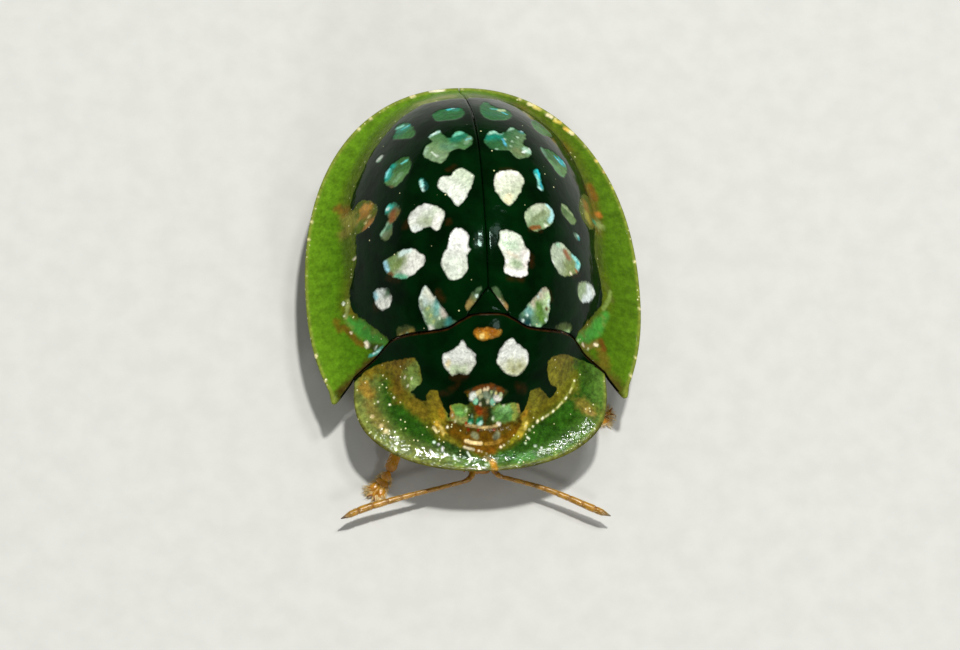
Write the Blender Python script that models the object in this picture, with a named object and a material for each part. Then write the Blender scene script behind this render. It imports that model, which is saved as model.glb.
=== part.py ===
# Tortoise beetle, life size, standing with its antennae and one fore leg reaching forward.
# The head is toward -Y, the beetle's own left side is toward +X, up is +Z and the feet are at Z = 0.
# Lengths below are millimetres; every mesh is scaled to metres as it is made.

import math

import bmesh
import bpy
import numpy as np
from mathutils import Vector
from mathutils.geometry import delaunay_2d_cdt

MM = 0.001
MODEL_NAME = "tortoise_beetle"

# Outline of the whole shield, seen from above
SHIELD_HALF_WIDTH = 2.71
SHIELD_WIDEST_Y = -0.12
SHIELD_REAR_LENGTH = 3.72
SHIELD_FRONT_LENGTH = 3.15
SHIELD_POWER = 2.2

# Domed disc inside the flat margin
DISC_HALF_WIDTH = 2.07
DISC_TOP_Y = 0.50
DISC_REAR_LENGTH = 2.88
DISC_FRONT_LENGTH = 3.02
DISC_POWER = 2.1
DOME_POWER = 2.7
DOME_HEIGHT = 2.00
DISC_FOOT_RISE = 0.30
DOME_FILLET = 0.12

# Margin that slopes down to the rim
RIM_HEIGHT = 1.00
MARGIN_SLOPE = 1.25

# Shield thickness, thinner toward the rim
DISC_THICKNESS = 0.50
RIM_THICKNESS = 0.38

# Clearance between neighbours
SEAM = 0.04
SHELL_TO_BODY = 0.07
HEAD_CLEARANCE = 0.10

# Base line between the pronotum and the wing cases, right half, as (across, along)
BASE_LINE = (
    (0.00, -1.20),
    (0.24, -1.205),
    (0.45, -1.27),
    (0.66, -1.335),
    (0.97, -1.30),
    (1.30, -1.22),
    (1.51, -1.21),
    (1.79, -1.38),
    (2.03, -1.55),
)
PRONOTUM_SIDE = (2.05, -1.86)
PRONOTUM_FRONT_Y = -3.15
PRONOTUM_FRONT_POWER = 2.15
HUMERAL_TIP = (2.37, -1.91)
SCUTELLUM_HALF_WIDTH = 0.33
SCUTELLUM_TIP_Y = -0.84

# Triangle size of the shield plates
PLATE_SPACING = 0.22

# Undersides
BELLY_HEIGHT = 0.78
BELLY_SAG = 0.10
BODY_INSET = 0.80

# Head under the shield
HEAD_CENTRE = (0.0, -2.38, 0.58)
HEAD_RADII = (0.56, 0.50, 0.36)
EYE_CENTRE = (0.46, -2.32, 0.60)
EYE_RADII = (0.14, 0.22, 0.21)

# Feelers from base to tip on each side, from the beetle's point of view
FEELER_PATHS = {
    "right": (
        (-0.15, -2.93, 0.42),
        (-0.36, -3.05, 0.42),
        (-0.84, -3.19, 0.41),
        (-1.38, -3.34, 0.39),
        (-1.92, -3.48, 0.37),
        (-2.30, -3.62, 0.35),
    ),
    "left": (
        (0.17, -2.93, 0.42),
        (0.42, -3.03, 0.41),
        (0.92, -3.17, 0.40),
        (1.50, -3.42, 0.38),
        (2.06, -3.69, 0.35),
    ),
}
FEELER_BASE_RADIUS = 0.11
FEELER_CLUB_RADIUS = 0.23

# Legs: hip, knee, ankle and claw end of each, as points in the frame
LEG_PATHS = {
    ("front", "right"): ((-0.32, -1.68, 0.50), (-1.14, -1.98, 0.49), (-1.48, -2.76, 0.25), (-1.76, -3.15, 0.0)),
    ("front", "left"): ((0.32, -1.68, 0.50), (1.10, -2.10, 0.49), (1.60, -2.02, 0.27), (2.20, -1.86, 0.0)),
    ("middle", "right"): ((-0.42, -0.80, 0.50), (-1.30, -1.04, 0.49), (-1.72, -0.68, 0.27), (-2.28, -0.42, 0.0)),
    ("middle", "left"): ((0.42, -0.80, 0.50), (1.32, -0.94, 0.49), (1.74, -0.56, 0.27), (2.30, -0.28, 0.0)),
    ("hind", "right"): ((-0.40, 0.10, 0.50), (-1.20, 0.64, 0.49), (-1.34, 1.20, 0.27), (-1.60, 1.84, 0.0)),
    ("hind", "left"): ((0.40, 0.10, 0.50), (1.22, 0.58, 0.49), (1.42, 1.12, 0.27), (1.74, 1.74, 0.0)),
}
FEMUR_RADIUS = 0.225
TIBIA_RADIUS = 0.200
TARSUS_HALF_WIDTH = 0.215
TARSUS_HEIGHT = 0.30
JOINT_GAP = 0.04
KNEE_SETBACK = 0.10
ANKLE_SETBACK = 0.09

# Box centre along Y is brought to zero
FRAME_SHIFT_Y = 0.115

MATERIALS = {
    "black_cuticle": ((0.006, 0.010, 0.008), 0.12, 0.0),
    "amber_cuticle": ((0.42, 0.19, 0.03), 0.28, 0.0),
    "clear_cuticle": ((0.36, 0.38, 0.08), 0.18, 0.0),
    "brown_underside": ((0.16, 0.07, 0.02), 0.35, 0.0),
    "dark_eye": ((0.02, 0.012, 0.008), 0.15, 0.0),
}


def clear_scene():
    for obj in list(bpy.data.objects):
        bpy.data.objects.remove(obj, do_unlink=True)


def new_collection(name):
    collection = bpy.data.collections.new(name)
    bpy.context.scene.collection.children.link(collection)
    return collection


def make_material(name):
    colour, roughness, metallic = MATERIALS[name]
    material = bpy.data.materials.new(name)
    material.use_nodes = True
    shader = material.node_tree.nodes["Principled BSDF"]
    shader.inputs["Base Color"].default_value = (*colour, 1.0)
    shader.inputs["Roughness"].default_value = roughness
    shader.inputs["Metallic"].default_value = metallic
    return material


def add_object(name, bm, material, collection):
    """Turns a bmesh in millimetres into a named object in metres."""
    bmesh.ops.recalc_face_normals(bm, faces=bm.faces)
    if bm.calc_volume(signed=True) < 0:
        bmesh.ops.reverse_faces(bm, faces=bm.faces)
    for vert in bm.verts:
        vert.co.y += FRAME_SHIFT_Y
        vert.co *= MM
    mesh = bpy.data.meshes.new(name)
    bm.to_mesh(mesh)
    bm.free()
    mesh.shade_smooth()
    obj = bpy.data.objects.new(name, mesh)
    mesh.materials.append(make_material(material))
    collection.objects.link(obj)
    return obj


# Height of the shield over the ground


def oval_norm(x, y, half_width, middle, rear, front, power):
    length = rear if y > middle else front
    return (abs(x / half_width) ** power + abs((y - middle) / length) ** power) ** (1.0 / power)


def shield_height(x, y):
    """Top of the shield: a dome that runs into the sloping margin with a small fillet."""
    disc = oval_norm(x, y, DISC_HALF_WIDTH, DISC_TOP_Y, DISC_REAR_LENGTH, DISC_FRONT_LENGTH, DISC_POWER)
    rim = oval_norm(
        x, y, SHIELD_HALF_WIDTH, SHIELD_WIDEST_Y, SHIELD_REAR_LENGTH, SHIELD_FRONT_LENGTH, SHIELD_POWER
    )
    dome = RIM_HEIGHT + DISC_FOOT_RISE + DOME_HEIGHT * (1.0 - disc**DOME_POWER)
    margin = RIM_HEIGHT + MARGIN_SLOPE * max(1.0 - rim, -0.2)
    return 0.5 * (dome + margin + math.hypot(dome - margin, DOME_FILLET))


def shield_normal(x, y):
    step = 0.01
    slope_x = (shield_height(x + step, y) - shield_height(x - step, y)) / (2 * step)
    slope_y = (shield_height(x, y + step) - shield_height(x, y - step)) / (2 * step)
    return Vector((-slope_x, -slope_y, 1.0)).normalized()


def shield_point(x, y, depth=0.0):
    """The point that lies depth below the shield's top, measured square to it."""
    top = Vector((x, y, shield_height(x, y)))
    return top - shield_normal(x, y) * depth


def shield_thickness(x, y):
    disc = oval_norm(x, y, DISC_HALF_WIDTH, DISC_TOP_Y, DISC_REAR_LENGTH, DISC_FRONT_LENGTH, DISC_POWER)
    blend = min(max((disc - 0.85) / 0.35, 0.0), 1.0)
    return DISC_THICKNESS + (RIM_THICKNESS - DISC_THICKNESS) * blend


# Outlines seen from above


def resample(points, spacing):
    """Evenly spaced points along an open line, both ends kept."""
    line = [Vector(p) for p in points]
    lengths = [0.0]
    for start, end in zip(line, line[1:]):
        lengths.append(lengths[-1] + (end - start).length)
    count = max(1, round(lengths[-1] / spacing))
    targets = np.linspace(0.0, lengths[-1], count + 1)
    xs = np.interp(targets, lengths, [p.x for p in line])
    ys = np.interp(targets, lengths, [p.y for p in line])
    return [Vector((x, y)) for x, y in zip(xs, ys)]


def smooth_line(points, steps=8):
    """A Catmull-Rom curve through the points."""
    line = [Vector(p) for p in points]
    padded = [2 * line[0] - line[1], *line, 2 * line[-1] - line[-2]]
    curve = []
    for a, b, c, d in zip(padded, padded[1:], padded[2:], padded[3:]):
        for i in range(steps):
            t = i / steps
            curve.append(
                0.5 * (2 * b + (c - a) * t + (2 * a - 5 * b + 4 * c - d) * t**2 + (3 * b - a - 3 * c + d) * t**3)
            )
    curve.append(line[-1])
    return curve


def shield_rim(start_y):
    """The rim of the right half, from start_y on its side round to the rear end."""
    points = []
    end = math.pi / 2
    ahead = (SHIELD_WIDEST_Y - start_y) / SHIELD_FRONT_LENGTH
    start = -math.asin(min(1.0, ahead ** (SHIELD_POWER / 2)))
    for angle in np.linspace(start, end, 60):
        x = SHIELD_HALF_WIDTH * abs(math.cos(angle)) ** (2 / SHIELD_POWER)
        reach = SHIELD_REAR_LENGTH if angle > 0 else -SHIELD_FRONT_LENGTH
        y = SHIELD_WIDEST_Y + reach * abs(math.sin(angle)) ** (2 / SHIELD_POWER)
        points.append(Vector((x, y)))
    return points


def elytron_outline():
    """Closed outline of the left wing case, kept half a seam off the mid line and a seam off the pronotum."""
    half_seam = SEAM / 2
    base = [Vector((x, y + SEAM)) for x, y in smooth_line(BASE_LINE) if x > SCUTELLUM_HALF_WIDTH + SEAM]
    tip = Vector(HUMERAL_TIP)
    rim = shield_rim(HUMERAL_TIP[1] + 0.22)
    rim[-1] = Vector((half_seam, rim[-1].y))
    scutellum_tip = Vector((half_seam, SCUTELLUM_TIP_Y + SEAM))
    lines = (
        [scutellum_tip, base[0]],
        base,
        [base[-1], base[-1] + Vector((0.10, -0.14)), tip, rim[0]],
        [p for p in rim if p.x >= half_seam],
        [rim[-1], scutellum_tip],
    )
    outline = []
    for line in lines:
        outline += resample(line, PLATE_SPACING)[:-1]
    return outline


def pronotum_outline():
    """Closed outline of the pronotum: the base line, round corners and the arched front."""
    right = smooth_line(BASE_LINE)
    side = Vector(PRONOTUM_SIDE)
    front = []
    for angle in np.linspace(0.0, math.pi / 2, 24):
        x = side.x * abs(math.cos(angle)) ** (2 / PRONOTUM_FRONT_POWER)
        y = side.y + (PRONOTUM_FRONT_Y - side.y) * abs(math.sin(angle)) ** (2 / PRONOTUM_FRONT_POWER)
        front.append(Vector((x, y)))
    half = resample(right, PLATE_SPACING * 0.8) + resample([right[-1], *front], PLATE_SPACING * 0.8)[1:]
    mirrored = [Vector((-p.x, p.y)) for p in reversed(half[1:-1])]
    return half + mirrored


def scutellum_outline():
    half_width = SCUTELLUM_HALF_WIDTH
    base_y = BASE_LINE[0][1] + SEAM
    right = resample([(0.0, base_y), (half_width, base_y - 0.02), (0.0, SCUTELLUM_TIP_Y)], PLATE_SPACING * 0.7)
    left = [Vector((-p.x, p.y)) for p in reversed(right[1:-1])]
    return right + left


def disc_edge():
    """Closed line where the dome meets the margin."""
    points = []
    for angle in np.linspace(0.0, 2 * math.pi, 72, endpoint=False):
        x = DISC_HALF_WIDTH * math.copysign(abs(math.cos(angle)) ** (2 / DISC_POWER), math.cos(angle))
        reach = DISC_REAR_LENGTH if math.sin(angle) > 0 else DISC_FRONT_LENGTH
        y = DISC_TOP_Y + reach * math.copysign(abs(math.sin(angle)) ** (2 / DISC_POWER), math.sin(angle))
        points.append(Vector((x, y)))
    return points


def distance_to_line(point, line):
    best = 1e9
    for start, end in zip(line, line[1:] + line[:1]):
        edge = end - start
        share = (point - start).dot(edge) / max(edge.length_squared, 1e-12)
        nearest = start + edge * min(max(share, 0.0), 1.0)
        best = min(best, (point - nearest).length)
    return best


def inside(point, outline):
    crossings = 0
    for start, end in zip(outline, outline[1:] + outline[:1]):
        if (start.y > point.y) != (end.y > point.y):
            share = (point.y - start.y) / (end.y - start.y)
            crossings += start.x + share * (end.x - start.x) > point.x
    return crossings % 2 == 1


def tile_outline(outline, spacing, crease=()):
    """Points and triangles that fill a closed outline, with extra points along a crease."""
    points = list(outline)
    for point in crease:
        if inside(point, outline) and distance_to_line(point, outline) > 0.45 * spacing:
            points.append(point)
    fixed = len(points)
    low_x = min(p.x for p in outline)
    high_x = max(p.x for p in outline)
    low_y = min(p.y for p in outline)
    high_y = max(p.y for p in outline)
    row_height = spacing * math.sqrt(3) / 2
    for row in range(int((high_y - low_y) / row_height) + 1):
        y = low_y + (row + 0.5) * row_height
        for column in range(int((high_x - low_x) / spacing) + 2):
            point = Vector((low_x + (column + 0.5 * (row % 2)) * spacing, y))
            if not inside(point, outline) or distance_to_line(point, outline) < 0.55 * spacing:
                continue
            if all((point - p).length > 0.6 * spacing for p in points[len(outline) : fixed]):
                points.append(point)
    edges = [(i, (i + 1) % len(outline)) for i in range(len(outline))]
    verts, _, faces, *_ = delaunay_2d_cdt(points, edges, [], 1, 1e-7)
    return verts, faces


def plate_solid(outline, top, bottom, spacing=PLATE_SPACING, crease=()):
    """A plate over an outline, between a top and a bottom that are functions of x and y."""
    verts, faces = tile_outline(outline, spacing, crease)
    bm = bmesh.new()
    upper = [bm.verts.new(top(p.x, p.y)) for p in verts]
    lower = [bm.verts.new(bottom(p.x, p.y)) for p in verts]
    edge_use = {}
    for face in faces:
        bm.faces.new([upper[i] for i in face])
        bm.faces.new([lower[i] for i in reversed(face)])
        for a, b in zip(face, face[1:] + face[:1]):
            edge_use[(a, b)] = True
    for a, b in edge_use:
        if (b, a) not in edge_use:
            bm.faces.new((upper[b], upper[a], lower[a], lower[b]))
    bmesh.ops.triangulate(bm, faces=bm.faces)
    return bm


def shell_underside(x, y):
    return shield_point(x, y, shield_thickness(x, y))


def shell_ceiling(x, y):
    """Height of the shell's underside over a point: a ball as thick as the shell, rolled under its top."""
    thickness = shield_thickness(x, y)
    lowest = shield_height(x, y) - thickness
    for reach in (0.25, 0.45, 0.60, 0.72, 0.82, 0.90, 0.96):
        for step in range(16):
            angle = math.pi * step / 8
            side_x = x + thickness * reach * math.cos(angle)
            side_y = y + thickness * reach * math.sin(angle)
            drop = thickness * math.sqrt(1.0 - reach**2)
            lowest = min(lowest, shield_height(side_x, side_y) - drop)
    return lowest


# Shield plates


def make_elytra(collection):
    """Two wing cases, each half of the dome with its flat margin."""
    outline = elytron_outline()
    crease = resample(disc_edge(), PLATE_SPACING)
    for side, sign in (("left", 1), ("right", -1)):
        bm = plate_solid(outline, shield_point, shell_underside, crease=crease)
        for vert in bm.verts:
            vert.co.x = sign * max(vert.co.x, SEAM / 2)
        add_object(f"elytron_{side}", bm, "black_cuticle", collection)


def make_pronotum(collection):
    crease = resample(disc_edge(), PLATE_SPACING)
    bm = plate_solid(pronotum_outline(), shield_point, shell_underside, PLATE_SPACING * 0.85, crease)
    add_object("pronotum", bm, "clear_cuticle", collection)


def make_scutellum(collection):
    bm = plate_solid(scutellum_outline(), shield_point, shell_underside, PLATE_SPACING * 0.7)
    add_object("scutellum", bm, "black_cuticle", collection)


# Body under the shield


def body_outline(front_y, rear_y):
    """A length of the disc's outline, drawn in to clear the shell."""
    points = []
    for y in np.linspace(front_y, rear_y, 14):
        reach = DISC_REAR_LENGTH if y > DISC_TOP_Y else DISC_FRONT_LENGTH
        along = min(abs(y - DISC_TOP_Y) / (reach * BODY_INSET), 1.0)
        half = DISC_HALF_WIDTH * BODY_INSET * (1.0 - along**DISC_POWER) ** (1 / DISC_POWER)
        points.append(Vector((max(half, 0.25), y)))
    right = resample(points, PLATE_SPACING)
    front = resample([(-points[0].x, front_y), (points[0].x, front_y)], PLATE_SPACING)
    rear = resample([(points[-1].x, rear_y), (-points[-1].x, rear_y)], PLATE_SPACING)
    left = [Vector((-p.x, p.y)) for p in reversed(right)]
    return front[:-1] + right[:-1] + rear[:-1] + left[:-1]


def belly_point(x, y):
    """Underside of the trunk: lowest along the mid line."""
    across = x / (DISC_HALF_WIDTH * BODY_INSET)
    return Vector((x, y, BELLY_HEIGHT + BELLY_SAG * across**2))


def trunk_top(x, y):
    return Vector((x, y, shell_ceiling(x, y) - SHELL_TO_BODY))


def make_trunk(collection):
    """Fore thorax, hind thorax and abdomen, one behind the other."""
    segments = (
        ("prothorax", -2.02, -1.30),
        ("hind_thorax", -1.26, 0.42),
        ("abdomen", 0.46, 2.80),
    )
    for name, front_y, rear_y in segments:
        bm = plate_solid(body_outline(front_y, rear_y), trunk_top, belly_point, PLATE_SPACING * 1.4)
        add_object(name, bm, "brown_underside", collection)


# Head, eyes and feelers


def ellipsoid(centre, radii, segments, rings):
    bm = bmesh.new()
    bmesh.ops.create_uvsphere(bm, u_segments=segments, v_segments=rings, radius=1.0)
    for vert in bm.verts:
        vert.co = Vector(centre) + Vector(vert.co[i] * radii[i] for i in range(3))
    return bm


def make_head(collection, cutters):
    """A rounded capsule with its face turned down, flat under the pronotum, with a socket for each eye."""
    bm = ellipsoid(HEAD_CENTRE, HEAD_RADII, 22, 12)
    for vert in bm.verts:
        roof = shell_ceiling(vert.co.x, vert.co.y) - HEAD_CLEARANCE
        if vert.co.z > HEAD_CENTRE[2]:
            vert.co.z = max(min(vert.co.z, roof), HEAD_CENTRE[2] + 0.01)
    head = add_object("head", bm, "amber_cuticle", collection)
    for side, sign in (("left", 1), ("right", -1)):
        centre = (sign * EYE_CENTRE[0], *EYE_CENTRE[1:])
        socket_radii = [radius + SEAM for radius in EYE_RADII]
        socket = add_object(f"socket_{side}", ellipsoid(centre, socket_radii, 16, 10), "dark_eye", cutters)
        socket.hide_render = True
        socket.display_type = "WIRE"
        cut = head.modifiers.new(f"socket_{side}", "BOOLEAN")
        cut.object = socket
        cut.operation = "DIFFERENCE"
        cut.solver = "EXACT"
        add_object(f"eye_{side}", ellipsoid(centre, EYE_RADII, 14, 8), "dark_eye", collection)


def make_feelers(collection):
    """Tapered tubes, slender at the head and thickest in the last third."""
    for side, path in FEELER_PATHS.items():
        curve = bpy.data.curves.new(f"antenna_{side}", "CURVE")
        curve.dimensions = "3D"
        curve.bevel_depth = FEELER_CLUB_RADIUS * MM
        curve.bevel_resolution = 1
        curve.use_fill_caps = True
        points = smooth_line(path, steps=4)
        spline = curve.splines.new("POLY")
        spline.points.add(len(points) - 1)
        for i, point in enumerate(points):
            share = i / (len(points) - 1)
            swell = min(share / 0.45, 1.0)
            radius = FEELER_BASE_RADIUS + (FEELER_CLUB_RADIUS - FEELER_BASE_RADIUS) * swell
            taper = math.sqrt(max(1.0 - max((share - 0.86) / 0.16, 0.0) ** 2, 0.05))
            spline.points[i].co = (point.x * MM, (point.y + FRAME_SHIFT_Y) * MM, point.z * MM, 1.0)
            spline.points[i].radius = radius * taper / FEELER_CLUB_RADIUS
        curve.materials.append(make_material("amber_cuticle"))
        obj = bpy.data.objects.new(f"antenna_{side}", curve)
        collection.objects.link(obj)


# Legs


def ring_loft(rings):
    """A closed solid through rings of the same number of points."""
    bm = bmesh.new()
    loops = [[bm.verts.new(p) for p in ring] for ring in rings]
    for lower, upper in zip(loops, loops[1:]):
        count = len(lower)
        for i in range(count):
            j = (i + 1) % count
            bm.faces.new((lower[i], lower[j], upper[j], upper[i]))
    bm.faces.new(list(reversed(loops[0])))
    bm.faces.new(loops[-1])
    bmesh.ops.triangulate(bm, faces=bm.faces)
    return bm


def round_ring(centre, direction, radius, sides=10):
    side = direction.cross(Vector((0.0, 0.0, 1.0))).normalized()
    up = side.cross(direction).normalized()
    ring = []
    for i in range(sides):
        angle = 2 * math.pi * i / sides
        ring.append(centre + side * (radius * math.cos(angle)) + up * (radius * math.sin(angle)))
    return ring


def limb(start, end, radius, end_share, swell):
    """A straight limb length with round ends, fullest at swell along it."""
    direction = (end - start).normalized()
    length = (end - start).length
    rings = []
    for share in (0.0, 0.06, 0.16, 0.34, 0.55, 0.75, 0.90, 1.0):
        fullness = end_share + (1.0 - end_share) * (1.0 - abs(share - swell) ** 1.6)
        cap = math.sqrt(max(1.0 - max((0.12 - min(share, 1.0 - share)) / 0.12, 0.0) ** 2, 0.20))
        rings.append(round_ring(start + direction * (length * share), direction, radius * fullness * cap))
    return ring_loft(rings)


def tarsus_ring(centre, across, half_width, height):
    """A section with a flat sole on the ground."""
    ring = [centre - across * (half_width * 0.82), centre + across * (half_width * 0.82)]
    for i in range(7):
        angle = math.pi * i / 6
        lift = 0.30 * height + 0.70 * height * math.sin(angle)
        ring.append(centre + across * (half_width * math.cos(angle)) + Vector((0.0, 0.0, lift)))
    return ring


def make_tarsus(start, end):
    """Three broad lobes and a narrow claw end, flat underneath."""
    run = Vector((end.x - start.x, end.y - start.y, 0.0))
    forward = run.normalized()
    across = forward.cross(Vector((0.0, 0.0, 1.0)))
    stations = (
        (0.00, 0.55, 0.80),
        (0.10, 0.80, 1.00),
        (0.28, 0.90, 1.00),
        (0.36, 0.74, 0.92),
        (0.50, 1.00, 0.95),
        (0.62, 1.00, 0.88),
        (0.74, 0.85, 0.74),
        (0.82, 0.50, 0.60),
        (1.00, 0.38, 0.40),
    )
    rings = []
    for share, wide, high in stations:
        centre = Vector((start.x, start.y, 0.0)) + run * share
        rings.append(tarsus_ring(centre, across, TARSUS_HALF_WIDTH * wide, TARSUS_HEIGHT * high))
    return ring_loft(rings)


def make_leg(pair, side, path, collection):
    hip, knee, ankle, claw = (Vector(p) for p in path)
    thigh_way = (knee - hip).normalized()
    shin_way = (ankle - knee).normalized()
    foot_way = Vector((claw.x - ankle.x, claw.y - ankle.y, 0.0)).normalized()
    femur = limb(hip, knee - thigh_way * KNEE_SETBACK, FEMUR_RADIUS, 0.74, 0.45)
    shin_start = knee + shin_way * (KNEE_SETBACK + JOINT_GAP)
    tibia = limb(shin_start, ankle, TIBIA_RADIUS, 0.72, 0.80)
    foot_start = ankle + foot_way * (ANKLE_SETBACK + JOINT_GAP)
    name = f"leg_{pair}_{side}"
    add_object(f"{name}_femur", femur, "amber_cuticle", collection)
    add_object(f"{name}_tibia", tibia, "amber_cuticle", collection)
    add_object(f"{name}_tarsus", make_tarsus(foot_start, claw), "amber_cuticle", collection)


def main():
    clear_scene()
    parts = new_collection(MODEL_NAME)
    cutters = new_collection("cutters")
    make_elytra(parts)
    make_pronotum(parts)
    make_scutellum(parts)
    make_trunk(parts)
    make_head(parts, cutters)
    make_feelers(parts)
    for (pair, side), path in LEG_PATHS.items():
        make_leg(pair, side, path, parts)


main()
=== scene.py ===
"""Looks of a life-size tortoise beetle.

Lengths are millimetres in the part's own layout: the head is toward -Y, the beetle's left side is toward +X,
up is +Z and the feet stand at Z = 0. Each mesh is moved and turned to metres as it is made. The tables of
markings give x and y in hundredths of a millimetre, and half widths in thousandths.
"""

import math

import bpy
import numpy as np
from mathutils import Matrix, Vector, noise
from mathutils.geometry import delaunay_2d_cdt


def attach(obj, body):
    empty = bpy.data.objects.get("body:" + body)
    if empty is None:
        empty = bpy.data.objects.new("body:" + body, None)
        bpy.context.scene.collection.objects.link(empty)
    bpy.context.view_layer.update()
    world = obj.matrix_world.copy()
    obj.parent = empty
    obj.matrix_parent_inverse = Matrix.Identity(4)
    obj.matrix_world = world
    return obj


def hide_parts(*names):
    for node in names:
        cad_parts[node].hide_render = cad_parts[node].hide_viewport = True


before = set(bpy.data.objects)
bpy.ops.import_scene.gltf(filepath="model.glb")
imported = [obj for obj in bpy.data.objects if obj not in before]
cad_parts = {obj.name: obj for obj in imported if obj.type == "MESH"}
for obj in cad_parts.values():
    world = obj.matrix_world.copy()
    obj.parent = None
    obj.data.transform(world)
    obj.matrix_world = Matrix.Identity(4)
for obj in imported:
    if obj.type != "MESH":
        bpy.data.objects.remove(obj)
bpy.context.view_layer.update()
rng = np.random.default_rng(11)

MM = 0.001
FRAME_SHIFT_Y = 0.115

# The shield's shape, the same as the part's
SHIELD = {"half_width": 2.71, "middle": -0.12, "rear": 3.72, "front": 3.15, "power": 2.2}
DISC = {"half_width": 2.07, "middle": 0.50, "rear": 2.88, "front": 3.02, "power": 2.1}
DOME_POWER = 2.7
DOME_HEIGHT = 2.00
DISC_FOOT_RISE = 0.30
DISC_HALF_LENGTH = 2.9
DISC_HALF_SIZE = 2.1
SHIELD_HALF_SIZE = 2.9
DOME_FILLET = 0.12
RIM_HEIGHT = 1.00
MARGIN_SLOPE = 1.25
BASE_LINE = (
    (0.00, -1.20), (0.24, -1.205), (0.45, -1.27), (0.66, -1.335), (0.97, -1.30), (1.30, -1.22),
    (1.51, -1.21), (1.79, -1.38), (2.03, -1.55),
)
PRONOTUM_SIDE = (2.05, -1.86)
PRONOTUM_FRONT_Y = -3.15
PRONOTUM_FRONT_POWER = 2.15
PRONOTUM_HALF_SIZE = 1.6
HUMERAL_TIP = (2.37, -1.91)
SCUTELLUM_HALF_WIDTH = 0.33
SCUTELLUM_TIP_Y = -0.84

# Spacing of the plates' points, fine enough for the edges of the markings
PLATE_SPACING = 0.028
PRONOTUM_SPACING = 0.018
SHELL_THICKNESS = 0.085
PRONOTUM_THICKNESS = 0.07
# The pronotum's edge is turned up a little, so that a flat band runs beside it
TURNED_BAND = 0.30
TURNED_SLOPE = 0.36
TURNED_BLEND = 0.07
# The streaks under the pronotum fan out from here
FAN_Y = -1.9
SUTURE = 0.006
SEAM = 0.016

HEAD_CENTRE = (0.0, -2.38, 0.58)
HEAD_RADII = (0.56, 0.50, 0.36)
# Room for the head and the trunk under the shield's top, and the belly's height
HEAD_ROOM = 0.56
TRUNK_ROOM = 0.62
BELLY_HEIGHT = 0.78
# The trunk's outline as a share of the disc's
TRUNK_SHARE = 0.8
# Grooves between the rings of the body
RING_LINES = (-1.28, 0.44, 1.00, 1.42, 1.82, 2.22)
EYE_CENTRE = (0.46, -2.32, 0.60)
EYE_RADII = (0.14, 0.22, 0.21)

FEELER_PATHS = {
    "right": ((-0.10, -2.83, 0.47), (-0.20, -3.03, 0.44), (-0.50, -3.12, 0.42), (-0.97, -3.23, 0.41),
              (-1.50, -3.36, 0.39), (-1.93, -3.48, 0.37), (-2.29, -3.63, 0.35)),
    "left": ((0.17, -2.79, 0.48), (0.28, -2.97, 0.44), (0.52, -3.05, 0.42), (0.92, -3.17, 0.40),
             (1.31, -3.33, 0.38), (1.70, -3.52, 0.37), (2.06, -3.69, 0.35)),
}
LEG_PATHS = {
    ("front", "right"): ((-0.32, -1.68, 0.5), (-1.1, -1.98, 0.49), (-1.44, -2.76, 0.25), (-1.74, -3.16, 0)),
    ("front", "left"): ((0.32, -1.68, 0.5), (1.1, -2.08, 0.49), (1.62, -2.0, 0.27), (2.25, -1.77, 0)),
    ("middle", "right"): ((-0.42, -0.8, 0.5), (-1.3, -1.04, 0.49), (-1.72, -0.68, 0.27), (-2.28, -0.42, 0)),
    ("middle", "left"): ((0.42, -0.8, 0.5), (1.32, -0.94, 0.49), (1.74, -0.56, 0.27), (2.3, -0.28, 0)),
    ("hind", "right"): ((-0.4, 0.1, 0.5), (-1.2, 0.64, 0.49), (-1.34, 1.2, 0.27), (-1.6, 1.84, 0)),
    ("hind", "left"): ((0.4, 0.1, 0.5), (1.22, 0.58, 0.49), (1.42, 1.12, 0.27), (1.74, 1.74, 0)),
}

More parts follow.
